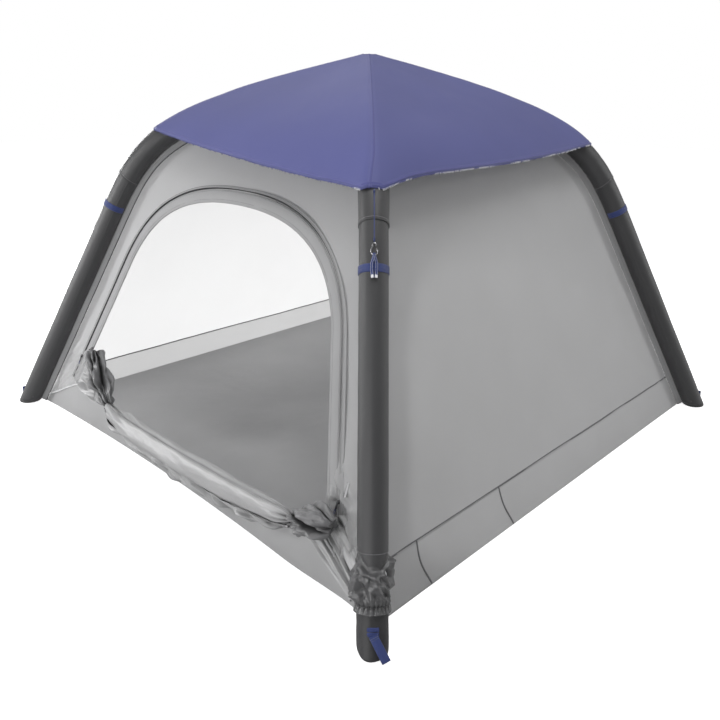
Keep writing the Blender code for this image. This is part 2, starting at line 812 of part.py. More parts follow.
def arch_strip(inner_offset, outer_offset, thickness):
    """A strip that follows the doorway on the outside of its wall."""
    arch = [(x, z) for x, z, _ in arch_points()]
    arch = arch + [(-x, z) for x, z in reversed(arch[:-1])]
    rings = []
    for i, (x, z) in enumerate(arch):
        x0, z0 = arch[max(i - 1, 0)]
        x1, z1 = arch[min(i + 1, len(arch) - 1)]
        length = math.hypot(x1 - x0, z1 - z0)
        out_x, out_z = (z1 - z0) / length, -(x1 - x0) / length
        ring = []
        for offset, depth in (
            (inner_offset, 2 * GAP),
            (outer_offset, 2 * GAP),
            (outer_offset, 2 * GAP + thickness),
            (inner_offset, 2 * GAP + thickness),
        ):
            px = x + out_x * offset
            pz = max(z + out_z * offset, DOOR_SILL + 0.004)
            ring.append(Vector((px, -half_width(pz) - depth, pz)))
        rings.append(ring)
    return solid_loft(rings)


def make_doorway_trim():
    add_object("door_surround", arch_strip(0.001, SURROUND_WIDTH, SURROUND_THICKNESS), "trim_fabric")
    start = SURROUND_WIDTH + 0.003
    add_object("door_zip", arch_strip(start, start + ZIP_WIDTH, ZIP_THICKNESS), "black_plastic")


def zip_place(side):
    """A point on the zip's front near the sill, with the directions along it, out and across."""
    sill = Vector((DOOR_SILL_HALF, 0, DOOR_SILL))
    spring = Vector((DOOR_SPRING[0], 0, DOOR_SPRING[1]))
    share = (SLIDER_HEIGHT - DOOR_SILL) / (DOOR_SPRING[1] - DOOR_SILL)
    run = spring - sill
    offset = Vector((run.z, 0, -run.x)).normalized() * (SURROUND_WIDTH + 0.003 + ZIP_WIDTH / 2)
    place = sill + run * share + offset
    ahead = place + run * 0.1
    place.y = -half_width(place.z)
    ahead.y = -half_width(ahead.z)
    along = (ahead - place).normalized()
    flat = Vector((1, 0, 0))
    out = along.cross(flat).normalized()
    if out.y > 0:
        out = -out
    place = place + out * (2 * GAP + ZIP_THICKNESS + GAP)
    mirror = Vector((side, 1, 1))
    return place * mirror, along * mirror, out * mirror


def block(origin, axes, sizes):
    """A box with one corner edge pair: axes are unit vectors, sizes are (low, high) along each."""
    made = bmesh.new()
    rings = []
    for depth in sizes[2]:
        ring = []
        for a, b in ((0, 0), (1, 0), (1, 1), (0, 1)):
            ring.append(origin + axes[0] * sizes[0][a] + axes[1] * sizes[1][b] + axes[2] * depth)
        rings.append(ring)
    rows = ring_vertices(made, rings)
    bridge(made, rows[0], rows[1])
    made.faces.new(rows[0])
    made.faces.new(rows[1])
    return made


def make_zip_sliders():
    for side, name in ((1, "right"), (-1, "left")):
        place, along, out = zip_place(side)
        across = along.cross(out)
        body = block(place, (across, along, out), ((-0.005, 0.005), (-0.006, 0.006), (0, 0.004)))
        add_object("zip_slider_" + name, body, "black_plastic", place)
        flat = Vector((1, 0, 0))
        down = flat.cross(out).normalized()
        if down.z > 0:
            down = -down
        pivot = place + out * 0.0055
        pull = block(pivot, (flat, down, out), ((-0.0035, 0.0035), (-0.001, 0.027), (-0.00075, 0.00075)))
        add_object("zip_pull_" + name, pull, "black_plastic", pivot)


def make_roof_net():
    start = solve(lambda value: corner_line(value).y, WALL_TOP + WALL_THICKNESS + GAP, 0, 2)
    end = solve(lambda value: corner_line(value).x, 0.05, 0, 2)
    shares = (-1.0, -0.5, 0.0, 0.5)
    layers = []
    for extra in (0.0, WALL_THICKNESS):
        rings = []
        for t in spread(start, end, 6):
            radius, height = corner_line(t, extra)
            width = radius / math.sqrt(2) - GAP
            ring = []
            for turns in range(4):
                turn = Matrix.Rotation(math.pi / 2 * turns, 3, "Z")
                ring.extend(turn @ Vector((width * share, -width, height)) for share in shares)
            rings.append(ring)
        layers.append(rings)
    made = bmesh.new()
    tops = []
    rows = []
    for rings, extra in zip(layers, (0.0, WALL_THICKNESS)):
        layer = ring_vertices(made, rings)
        for first, second in zip(layer, layer[1:]):
            bridge(made, first, second)
        peak = APEX_HEIGHT - (SLEEVE_RADIUS + FLANGE + extra) / math.cos(ROOF_PITCH)
        tops.append(made.verts.new((0, 0, peak)))
        last = layer[-1]
        for i in range(len(last)):
            made.faces.new((last[i], last[(i + 1) % len(last)], tops[-1]))
        rows.append(layer)
    bridge(made, rows[0][0], rows[1][0])
    add_object("roof_net", made, "net_fabric")


# ---- Fly ----


def face_normal(leg, t, flat):
    """The outward normal of the roof face that holds the leg's heading and a level direction."""
    _, along, normal, _ = leg_frame(leg, t)
    found = flat.cross(along).normalized()
    return found if found.dot(normal) > 0 else -found


def fly_ring(share, stand_off):
    """One course round the roof: over each leg on an arc, and straight from leg to leg."""
    level_x = Vector((1, 0, 0))
    level_y = Vector((0, 1, 0))
    arcs = []
    for i, leg in enumerate(LEGS):
        start = t_at_height(FLY_CORNER_HEIGHT[leg])
        end = t_at_radius(FLY_INNER_STATION)
        t = start + (end - start) * share
        before, after = (level_x, level_y) if i % 2 == 0 else (level_y, level_x)
        first = face_normal(leg, t, before)
        last = face_normal(leg, t, after)
        centre = leg_frame(leg, t)[0]
        reach = SLEEVE_RADIUS + stand_off
        arcs.append([centre + reach * first.lerp(last, s).normalized() for s in (0, 1 / 3, 2 / 3, 1)])
    ring = []
    for i, arc in enumerate(arcs):
        following = arcs[(i + 1) % len(arcs)][0]
        ring.extend(arc)
        ring.extend(arc[-1].lerp(following, s) for s in (1 / 3, 2 / 3))
    return ring


def make_fly():
    made = bmesh.new()
    edges = []
    for stand_off in (FLY_CLEARANCE + FLY_THICKNESS, FLY_CLEARANCE):
        shares = (0.0, 0.08, 0.17, 0.27, 0.38, 0.52, 0.70, 0.85, 1.0)
        rows = ring_vertices(made, [fly_ring(share, stand_off) for share in shares])
        for first, second in zip(rows, rows[1:]):
            bridge(made, first, second)
        peak = made.verts.new((0, 0, APEX_HEIGHT + (SLEEVE_RADIUS + stand_off) / math.cos(ROOF_PITCH)))
        last = rows[-1]
        for i in range(len(last)):
            made.faces.new((last[i], last[(i + 1) % len(last)], peak))
        edges.append(rows[0])
    bridge(made, *edges)
    add_object("roof_fly", made, "fly_fabric")


# ---- The door, rolled down along the sill and tied at both ends ----

# x, y, z and radius of each section, from the gathered left end to the bundle on the right
DOOR_ROLL = (
    (-0.600, -1.000, 0.285, 0.012),
    (-0.575, -1.005, 0.260, 0.026),
    (-0.510, -1.015, 0.205, 0.028),
    (-0.455, -1.025, 0.168, 0.012),
    (-0.400, -1.040, 0.155, 0.034),
    (-0.200, -1.046, 0.142, 0.042),
    (0.100, -1.048, 0.140, 0.044),
    (0.400, -1.046, 0.146, 0.043),
    (0.600, -1.042, 0.160, 0.038),
    (0.685, -1.035, 0.178, 0.012),
    (0.735, -1.040, 0.192, 0.040),
    (0.790, -1.042, 0.212, 0.048),
    (0.840, -1.035, 0.216, 0.038),
    (0.865, -1.030, 0.216, 0.014),
)
TIE_SECTIONS = {"left": 3, "right": 9}
TIE_RING = 0.0155
TIE_WIRE = 0.002


def make_rolled_door():
    rings = []
    for x, y, z, radius in DOOR_ROLL:
        ring = []
        for angle in full_circle(10):
            ring.append(Vector((x, y + radius * math.cos(angle), z + radius * math.sin(angle))))
        rings.append(ring)
    add_object("rolled_door", solid_loft(rings), "wall_fabric")


def make_door_ties():
    for name, section in TIE_SECTIONS.items():
        x, y, z, _ = DOOR_ROLL[section]
        middle = Vector((x, y, z))
        profile = []
        for angle in full_circle(6):
            profile.append((TIE_RING + TIE_WIRE * math.cos(angle), TIE_WIRE * math.sin(angle)))
        made = turned(middle, Vector((1, 0, 0)), UP, profile)
        add_object("door_tie_" + name, made, "cord")


def make_label():
    height = LABEL_HEIGHT
    width = half_width(height)
    slope = (half_width(height + 0.01) - width) / 0.01
    up = Vector((0, -slope, 1)).normalized()
    out = Vector((0, -1, -slope)).normalized()
    made = block(
        Vector((LABEL_X, -width, height)),
        (Vector((1, 0, 0)), up, out),
        ((-0.006, 0.006), (-0.022, 0.022), (0.001, 0.002)),
    )
    add_object("care_label", made, "label_fabric")


def main():
    clear_scene()
    make_sleeves()
    make_bladders()
    make_hub("sleeve_hub", SLEEVE_RADIUS, SLEEVE_WALL, "sleeve_fabric")
    make_hub("air_hub", BLADDER_RADIUS, BLADDER_WALL, "bladder")
    make_feet()
    make_valve()
    make_cuff()
    make_collars_and_bands()
    make_fly_ties()
    make_peg_loops()
    make_groundsheet()
    make_plain_walls()
    make_door_wall()
    make_doorway_trim()
    make_zip_sliders()
    make_roof_net()
    make_fly()
    make_rolled_door()
    make_door_ties()
    make_label()


main()
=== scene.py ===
"""Looks of the square dome tent: its fabric, seams, webbing and small hardware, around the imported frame.

Metres, +Z up, doorway facing -Y. Cloth is a dense grid laid along the legs' curve and creased with
smooth noise. Seams, hems, teeth and stitches are geometry of their own.
"""

import math

import bmesh
import bpy
import numpy as np
from mathutils import Matrix, Vector


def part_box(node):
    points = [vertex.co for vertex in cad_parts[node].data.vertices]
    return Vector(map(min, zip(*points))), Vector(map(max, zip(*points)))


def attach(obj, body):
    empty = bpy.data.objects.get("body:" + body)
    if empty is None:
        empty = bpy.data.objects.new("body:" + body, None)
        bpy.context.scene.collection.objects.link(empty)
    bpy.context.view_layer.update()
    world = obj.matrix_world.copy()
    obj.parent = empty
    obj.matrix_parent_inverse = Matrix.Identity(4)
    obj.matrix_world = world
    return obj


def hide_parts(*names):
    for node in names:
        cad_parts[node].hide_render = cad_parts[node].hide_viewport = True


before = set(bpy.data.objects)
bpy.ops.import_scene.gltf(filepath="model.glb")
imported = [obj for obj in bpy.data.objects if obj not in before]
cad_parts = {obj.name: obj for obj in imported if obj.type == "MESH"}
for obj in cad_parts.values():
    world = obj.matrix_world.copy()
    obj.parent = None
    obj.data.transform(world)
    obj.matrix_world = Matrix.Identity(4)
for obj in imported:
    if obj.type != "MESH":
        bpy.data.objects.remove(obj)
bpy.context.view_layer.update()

# ---- Driving dimensions, which are the frame's own ----

FOOT_RADIUS = 2.20 / math.sqrt(2)
LEG_LEAN = math.radians(28.9)
KNEE_HEIGHT = 0.834
SHOULDER_HANDLE = 0.40
ROOF_HANDLE = 0.89
ROOF_PITCH = math.radians(13.5)
SLEEVE_RADIUS = 0.043
FLANGE = 0.025
HUB_RADIUS = 0.11
APEX_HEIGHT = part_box("sleeve_hub")[1][2] - SLEEVE_RADIUS / math.cos(ROOF_PITCH)
SEAM_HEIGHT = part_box("groundsheet")[1][2]
WALL_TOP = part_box("wall_back")[1][2]
WALL_HEM = WALL_TOP + 0.028
SOLE_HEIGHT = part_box("foot_back_left")[1][2]
BOOT_TOP = 0.178
BOOT_RADIUS = 0.0425
BOOT_LOOP_LEVEL = 0.0425
BOOT_LOOP_OUT = 0.0491
BOOT_LOOP_LENGTH = 0.070
BOOT_LOOP_WIDTH = 0.024
BOOT_LOOP_SLANT = math.radians(28)
PEG_LOOP_WIDTH = 0.018
PEG_FOLD = 0.0056
DOOR_SILL = 0.142
DOOR_SILL_HALF = 0.805
DOOR_SPRING = (0.615, 0.66)
DOOR_HANDLES = ((0.53, 0.92), (0.30, 0.985))
DOOR_TOP = 0.985
CORNER_SEAM = 0.035
SURROUND_WIDTH = 0.042
ZIP_LINE = 0.0485
CLOTH = 0.0009
LONG_STITCH = (0.006, 0.0036)
SHORT_STITCH = (0.005, 0.0032)
FINE_STITCH = (0.005, 0.003)
FLY_CLEARANCE = 0.0055
BAND_HEIGHT = 0.901
LOOP_TOP = 0.038
HOOK_BASE = 0.0330
HOOK_EYE = 0.005
HOOK_EYE_HEIGHT = 0.030
HOOK_HALF = 0.009
HOOK_WIRE = 0.00135
CORD_RADIUS = 0.0015
COLLAR_EDGE = 1.018

LEGS = {"front_right": (1, -1), "back_right": (1, 1), "back_left": (-1, 1), "front_left": (-1, -1)}
HOOK_ANGLE = {
    "front_right": 0.0,
    "back_right": math.radians(50),
    "back_left": 0.0,
    "front_left": math.radians(-50),
}
FLY_CORNER = {"front_right": 1.09, "back_right": 1.14, "back_left": 1.14, "front_left": 1.175}
WORLD_LIGHT = 0.31
WALLS = {"wall_right": 1, "wall_back": 2, "wall_left": 3}


# ---- Camera and light ----


def make_camera():
    """An eye-level view of the front right corner."""
    pitch = math.radians(21.589)
    yaw = math.radians(44.186)
    roll = math.radians(0.727)
    forward = Vector(
        (-math.sin(yaw) * math.cos(pitch), math.cos(yaw) * math.cos(pitch), -math.sin(pitch))
    )
    right = forward.cross(Vector((0, 0, 1))).normalized()
    up = right.cross(forward)
    x = right * math.cos(roll) + up * math.sin(roll)
    y = up * math.cos(roll) - right * math.sin(roll)
    camera = bpy.data.objects.new("camera", bpy.data.cameras.new("camera"))
    camera.data.lens = 35.4
    camera.data.sensor_width = 36.0
    place = Matrix.Translation((2.0885, -2.1782, 1.4052))
    camera.matrix_world = place @ Matrix((x, y, -forward)).transposed().to_4x4()
    bpy.context.scene.collection.objects.link(camera)
    bpy.context.scene.camera = camera


def area_light(name, place, target, size, power):
    light = bpy.data.lights.new(name, "AREA")
    light.shape = "RECTANGLE"
    light.size, light.size_y = size
    light.energy = power
    lamp = bpy.data.objects.new(name, light)
    lamp.location = place
    lamp.visible_camera = False
    lamp.rotation_mode = "QUATERNION"
    lamp.rotation_quaternion = (Vector(target) - Vector(place)).to_track_quat("-Z", "Y")
    bpy.context.scene.collection.objects.link(lamp)


def make_studio():
    scene = bpy.context.scene
    scene.view_settings.view_transform = "Standard"
    world = bpy.data.worlds.new("studio")
    world.use_nodes = True
    tree = world.node_tree
    strength = maths(tree, "MULTIPLY_ADD", seen_directly(tree), 1 - WORLD_LIGHT, WORLD_LIGHT)
    feed(tree, tree.nodes["Background"], {"Color": (1, 1, 1, 1), "Strength": strength})
    scene.world = world
    area_light("key_left", (-2.7, -3.3, 1.45), (-0.2, -0.9, 0.4), (0.7, 0.9), 80)
    area_light("back_left", (-4.8, 0.9, 0.9), (-0.6, 0.0, 0.6), (3.4, 1.5), 270)
    area_light("overhead", (1.2, -0.6, 4.8), (0.2, 0, 0), (2.2, 2.2), 110)
    area_light("front_fill", (1.3, -5.0, 1.2), (-0.3, 0, 0.45), (1.2, 1.2), 74)
    area_light("right_rim", (3.6, 3.4, 1.8), (0.3, 0.0, 0.8), (0.4, 2.6), 46)
    bpy.ops.mesh.primitive_grid_add(x_subdivisions=4, y_subdivisions=4, size=30)
    floor = bpy.context.object
    floor.name = "studio_floor"
    floor.location = (0, 0, -0.001)
    floor.data.materials.append(floor_material())


def seen_directly(tree):
    return node(tree, "ShaderNodeLightPath", {}).outputs["Is Camera Ray"]


def floor_material():
    """White as seen, and a dimmer grey in the light that it sends back up."""
    made = bpy.data.materials.new("studio_floor")
    made.use_nodes = True
    tree = made.node_tree
    seen = seen_directly(tree)
    look = {
        "Roughness": 0.9,
        "Specular IOR Level": 0.1,
        "Emission Color": (1, 1, 1, 1),
        "Base Color": maths(tree, "MULTIPLY_ADD", seen, 0.43, 0.50),
        "Emission Strength": maths(tree, "MULTIPLY", seen, 0.74),
    }
    feed(tree, tree.nodes["Principled BSDF"], look)
    return made


# ---- Smooth noise ----


def noise(points, seed=0):
    """Value noise from -1 to 1, one cell per unit."""
    cell = np.floor(points).astype(np.int64)
    part = points - cell
    part = part * part * (3 - 2 * part)
    total = np.zeros(points.shape[:-1])
    for corner in range(8):
        step = np.array([corner & 1, corner >> 1 & 1, corner >> 2 & 1])
        x, y, z = np.moveaxis(cell + step, -1, 0)
        mixed = (x * 73856093) ^ (y * 19349663) ^ (z * 83492791) ^ ((seed + 1) * 668265263)
        mixed = ((mixed ^ (mixed >> 13)) * 1274126177) & 0xFFFFFFFF
        value = ((mixed ^ (mixed >> 16)) & 0xFFFF) / 32767.5 - 1
        weight = np.prod(np.where(step == 1, part, 1 - part), axis=-1)
        total += value * weight
    return total


def creases(points, seed=0):
    """Sharp-ridged noise from -1 to 1, like crumpled cloth."""
    first = 1 - 2 * np.abs(noise(points, seed))
    second = 1 - 2 * np.abs(noise(points * 2.1 + 5.2, seed + 7))
    return 0.68 * first + 0.32 * second


def crumple(points, seed=0, folds=7, warp=0.45):
    """Cloth crushed into flat facets between sharp folds, from -1 to 1."""
    draw = np.random.default_rng(seed)
    bent = points + warp * np.stack([noise(points * 0.8 + 9.7 * k, seed + k) for k in range(3)], -1)
    total = 0.0
    weight = 0.0
    for k in range(folds):
        direction = draw.normal(size=3)
        direction /= np.linalg.norm(direction)
        pitch = 1 / (1 + 0.62 * k)
        wave = bent @ direction / pitch + draw.uniform()
        bow = np.sqrt((wave - np.floor(wave) - 0.5) ** 2 + 0.0004)
        total = total + (1 - 4 * bow) * pitch**1.25
        weight += pitch**1.25
    return 1.5 * total / weight


def lobes(angle, count, seed=0, sway=1.2):
    """Rounded crests with sharp valleys between them, from 0 to 1, round an angle."""
    place = np.stack([np.cos(angle), np.sin(angle), 0 * angle], -1)
    return np.abs(np.sin(count * angle / 2 + sway * noise(place * 1.1, seed)))


def smooth(low, high, value):
    share = np.clip((value - low) / (high - low), 0, 1)
    return share * share * (3 - 2 * share)


def unit(vectors):
    return vectors / np.maximum(np.linalg.norm(vectors, axis=-1, keepdims=True), 1e-12)


# ---- Mesh making ----

# Every material by its short name, filled by make_materials
FINISH = {}


class Shape:
    """Grids of points gathered into one mesh, with UVs in metres."""

    def __init__(self):
        self.points, self.faces, self.uvs, self.slots, self.count = [], [], [], [], 0

    def grid(self, points, wrap_rows=False, wrap_cols=False, slot=0):
        rows, cols = points.shape[:2]
        row_run = np.linalg.norm(np.diff(points, axis=0), axis=2).mean(axis=1)
        col_run = np.linalg.norm(np.diff(points, axis=1), axis=2).mean(axis=0)
        v = np.concatenate([[0], np.cumsum(row_run)])
        u = np.concatenate([[0], np.cumsum(col_run)])
        v = np.append(v, v[-1] + row_run.mean())
        u = np.append(u, u[-1] + col_run.mean())
        r, c = np.meshgrid(
            np.arange(rows - (not wrap_rows)), np.arange(cols - (not wrap_cols)), indexing="ij"
        )
        r, c = r.ravel(), c.ravel()
        after_r, after_c = (r + 1) % rows, (c + 1) % cols
        quads = np.stack(
            [r * cols + c, r * cols + after_c, after_r * cols + after_c, after_r * cols + c], -1
        )
        loops = np.stack(
            [
                np.stack([u[c], v[r]], -1),
                np.stack([u[c + 1], v[r]], -1),
                np.stack([u[c + 1], v[r + 1]], -1),
                np.stack([u[c], v[r + 1]], -1),
            ],
            1,
        )
        self.add(points.reshape(-1, 3), quads, loops, slot)
        return self

    def add(self, points, quads, loops=None, slot=0):
        self.points.append(np.asarray(points, float))
        self.faces.append(quads + self.count)
        self.uvs.append(np.zeros((len(quads), 4, 2)) if loops is None else loops)
        self.slots.append(np.full(len(quads), slot))
        self.count += len(points)

    def object(self, name, *materials, thickness=0.0, weld=False):
        points = np.vstack(self.points)
        faces = np.vstack(self.faces)
        mesh = bpy.data.meshes.new(name)
        mesh.from_pydata(points.tolist(), [], faces.tolist())
        layer = mesh.uv_layers.new(name="cloth")
        layer.data.foreach_set("uv", np.vstack(self.uvs).astype(np.float32).ravel())
        mesh.polygons.foreach_set("material_index", np.concatenate(self.slots).astype(np.int32))
        for item in materials:
            mesh.materials.append(FINISH[item])
        tidy_mesh(mesh, weld)
        obj = bpy.data.objects.new(name, mesh)
        bpy.context.scene.collection.objects.link(obj)
        if thickness:
            solid = obj.modifiers.new("thickness", "SOLIDIFY")
            solid.thickness = thickness
            solid.offset = 0
        return obj

    def piece(self, name, slot, *materials, cad=None, body="tent", thickness=0.0, weld=False):
        """The object, riding on its body, and standing for its CAD node if it has one. The slot is not used.
        """
        obj = self.object(name, *materials, thickness=thickness, weld=weld)
        return place_piece(obj, body, slot, *([cad] if cad else []))


def tidy_mesh(mesh, weld):
    work = bmesh.new()
    work.from_mesh(mesh)
    if weld:
        bmesh.ops.remove_doubles(work, verts=work.verts, dist=1e-5)
    bmesh.ops.recalc_face_normals(work, faces=work.faces)
    work.to_mesh(mesh)
    work.free()
    mesh.shade_smooth()


def resample(path, step=None, count=None):
    """The path again at even spacing. Extra columns, such as normals, ride along."""
    path = np.asarray(path, float)
    run = np.concatenate([[0], np.cumsum(np.linalg.norm(np.diff(path[:, :3], axis=0), axis=1))])
    if count is None:
        count = max(int(run[-1] / step) + 1, 2)
    at = np.linspace(0, run[-1], count)
    return np.stack([np.interp(at, run, path[:, k]) for k in range(path.shape[1])], 1)


def frames(path, out):
    """Heading, out and side at each point of a path."""
    heading = unit(np.gradient(path, axis=0))
    out = unit(out - heading * np.sum(out * heading, axis=1, keepdims=True))
    return heading, out, np.cross(heading, out)


def welt(shape, path, out, width, height, sink=0.0004, slot=0, sides=7):
    """A raised strip that follows a path on a surface: a seam, hem, tape or strap."""
    _, out, side = frames(path, out)
    angles = np.linspace(0, math.pi, sides)
    across = np.sign(np.cos(angles)) * np.abs(np.cos(angles)) ** 0.6 * width / 2
    lift = np.sin(angles) ** 0.6 * height - sink
    lift[0] = lift[-1] = -sink
    ring = path[:, None] + side[:, None] * across[:, None] + out[:, None] * lift[:, None]
    under = path[:, None] + side[:, None] * (across[[-1, 0]])[:, None] - out[:, None] * (sink + 0.0003)
    ring = np.concatenate([ring, under], axis=1)
    shape.grid(ring, wrap_cols=True, slot=slot)
    for end in (ring[0], ring[-1]):
        cap(shape, end, slot)
    return shape


def cap(shape, ring, slot=0):
    """Closes a ring of points with quads round its middle."""
    count = len(ring)
    middle = ring.mean(axis=0)
    half = (ring + middle) / 2
    shape.grid(np.stack([ring, half]), wrap_cols=True, slot=slot)
    inner = np.stack([half, np.repeat(middle[None], count, axis=0) + (half - middle) * 0.02])
    shape.grid(inner, wrap_cols=True, slot=slot)


def tube(shape, path, radius, sides=8, slot=0, closed=False):
    """A round tube along a path, with no twist. The radius may change along it."""
    path = np.asarray(path, float)
    radius = np.broadcast_to(radius, len(path))
    if closed:
        heading = unit(np.roll(path, -1, axis=0) - np.roll(path, 1, axis=0))
    else:
        heading = unit(np.gradient(path, axis=0))
    normal = unit(np.cross(heading[0], [0.31, 0.52, 0.79]))
    rings = []
    angles = np.linspace(0, 2 * math.pi, sides, endpoint=False)
    for point, ahead, r in zip(path, heading, radius):
        normal = unit(normal - ahead * np.dot(normal, ahead))
        other = np.cross(ahead, normal)
        rings.append(point + r * (np.cos(angles)[:, None] * normal + np.sin(angles)[:, None] * other))
    shape.grid(np.array(rings), wrap_rows=closed, wrap_cols=True, slot=slot)
    if not closed:
        cap(shape, rings[0], slot)
        cap(shape, rings[-1], slot)
    return shape


BOX_CORNERS = np.array([[x, y, z] for z in (0, 1) for y in (-1, 1) for x in (-1, 1)], float)
BOX_QUADS = np.array([[0, 2, 3, 1], [4, 5, 7, 6], [0, 1, 5, 4], [2, 6, 7, 3], [0, 4, 6, 2], [1, 3, 7, 5]])


def dashes(shape, path, out, pitch, length, width=0.0009, height=0.0006, slot=0, lift=0.0):
    """A row of stitches along a path on a surface."""
    both = resample(np.hstack([path, out]), step=pitch)
    heading, out, side = frames(both[:, :3], both[:, 3:])
    axes = np.stack([heading * length / 2, side * width / 2, out * height], 1)
    corners = both[:, None, :3] + np.einsum("kc,ncd->nkd", BOX_CORNERS, axes) + out[:, None] * lift
    count = len(both)
    quads = (BOX_QUADS[None] + 8 * np.arange(count)[:, None, None]).reshape(-1, 4)
    shape.add(corners.reshape(-1, 3), quads, slot=slot)
    return shape


# ---- Materials ----


def feed(tree, made, inputs):
    """Gives a node's inputs a value each, or a link from another node's output."""
    for key, value in inputs.items():
        if isinstance(value, bpy.types.NodeSocket):
            tree.links.new(value, made.inputs[key])
        else:
            made.inputs[key].default_value = value


def node(tree, kind, inputs, **settings):
    made = tree.nodes.new(kind)
    for name, value in settings.items():
        setattr(made, name, value)
    feed(tree, made, inputs)
    return made


def maths(tree, operation, *values):
    return node(tree, "ShaderNodeMath", dict(enumerate(values)), operation=operation).outputs[0]


def scaled(tree, colour, share):
    return node(tree, "ShaderNodeVectorMath", {0: colour, "Scale": share}, operation="SCALE").outputs[0]


def varied_colour(tree, place, colour, amount, scale):
    """The colour, lightened and darkened a little in soft patches."""
    patches = node(tree, "ShaderNodeTexNoise", {"Scale": scale, "Detail": 5, "Vector": place})
    span = {"From Min": 0.3, "From Max": 0.7, "To Min": 1 - amount, "To Max": 1 + amount}
    share = node(tree, "ShaderNodeMapRange", {**span, "Value": patches.outputs["Fac"]})
    return scaled(tree, colour, share.outputs[0]), patches.outputs["Fac"]


def bump(tree, height, distance, strength, before=None):
    inputs = {"Distance": distance, "Strength": strength, "Height": height}
    if before is not None:
        inputs["Normal"] = before
    return node(tree, "ShaderNodeBump", inputs).outputs[0]


def thread_pattern(tree, thread, rib):
    """Warp and weft as a height: plain weave, or ribs across a strap."""
    uv = node(tree, "ShaderNodeUVMap", {}, uv_map="cloth")
    split = node(tree, "ShaderNodeSeparateXYZ", {0: uv.outputs[0]})
    waves = []
    for axis, pitch in ((0, thread), (1, rib)):
        turned = maths(tree, "MULTIPLY", split.outputs[axis], 2 * math.pi / pitch)
        waves.append(maths(tree, "SINE", turned))
    return maths(tree, "MULTIPLY", waves[0], waves[1])


def new_material(name):
    """A material with its node tree, its shader and its place in space."""
    made = bpy.data.materials.new(name)
    made.use_nodes = True
    tree = made.node_tree
    place = node(tree, "ShaderNodeTexCoord", {}).outputs["Object"]
    return made, tree, tree.nodes["Principled BSDF"], place


def mixed_shader(tree, share, first, second):
    mix = node(tree, "ShaderNodeMixShader", {0: share, 1: first.outputs[0], 2: second.outputs[0]})
    tree.links.new(mix.outputs[0], tree.nodes["Material Output"].inputs[0])


def cloth(
    name,
    colour,
    roughness=0.62,
    sheen=0.25,
    variation=0.045,
    thread=0.0011,
    rib=0.0011,
    weave=0.25,
    crumple=0.2,
    glow=0.0,
    through=(0.9, 0.9, 0.9),
    specular=0.35,
    hollow=0.0,
):
    """Woven fabric. Glow is the share that lets light through, and hollow is painted shade: it darkens the
    colour by ambient occlusion in the depths of folds.
    """
    made, tree, shader, place = new_material(name)
    tint, patches = varied_colour(tree, place, colour, variation, 3.5)
    fine = node(tree, "ShaderNodeTexNoise", {"Scale": 55, "Detail": 4, "Vector": place})
    threads = thread_pattern(tree, thread, rib)
    soft = bump(tree, fine.outputs["Fac"], 0.0016, crumple)
    normal = bump(tree, threads, 0.00035, weave, soft)
    look = {
        # Painted shade in the depths of folds, when hollow is set
        "Base Color": painted_fold_shade(tree, tint, hollow) if hollow else tint,
        "Roughness": maths(tree, "MULTIPLY_ADD", patches, 0.16, roughness - 0.08),
        "Normal": normal,
        "Sheen Weight": sheen,
        "Sheen Roughness": 0.45,
        "Specular IOR Level": specular,
    }
    feed(tree, shader, look)
    if glow:
        passed = node(tree, "ShaderNodeBsdfTranslucent", {"Color": (*through, 1), "Normal": normal})
        mixed_shader(tree, glow, shader, passed)
    return made


def painted_fold_shade(tree, tint, amount):
    """Painted shade: the colour, darkened by ambient occlusion where folds close in on themselves."""
    shade = node(tree, "ShaderNodeAmbientOcclusion", {"Distance": 0.045}, samples=8)
    deep = maths(tree, "POWER", shade.outputs["AO"], 2.2)
    return scaled(tree, tint, maths(tree, "MULTIPLY_ADD", deep, amount, 1 - amount))


def net_material():
    """Fine mesh: round-cornered holes between knitted threads."""
    made = cloth("roof_mesh", (0.42, 0.42, 0.44), weave=0.1)
    tree = made.node_tree
    holes = thread_pattern(tree, 0.006, 0.006)
    open_part = maths(tree, "GREATER_THAN", maths(tree, "ABSOLUTE", holes), 0.35)
    clear = node(tree, "ShaderNodeBsdfTransparent", {})
    mixed_shader(tree, maths(tree, "MULTIPLY", open_part, 0.75), tree.nodes["Principled BSDF"], clear)
    return made


def hard(name, colour, roughness, metallic=0.0, grain=0.15):
    """Moulded plastic, film or metal with a fine grain and handling marks."""
    made, tree, shader, place = new_material(name)
    tint, patches = varied_colour(tree, place, colour, 0.08, 40)
    grains = node(tree, "ShaderNodeTexNoise", {"Scale": 300, "Vector": place})
    look = {
        "Base Color": tint,
        "Normal": bump(tree, grains.outputs["Fac"], 0.0003, grain),
        "Roughness": maths(tree, "MULTIPLY_ADD", patches, 0.2, roughness - 0.1),
        "Metallic": metallic,
    }
    feed(tree, shader, look)
    return made


def grey(value, blue=0.005):
    return value, value, value + blue


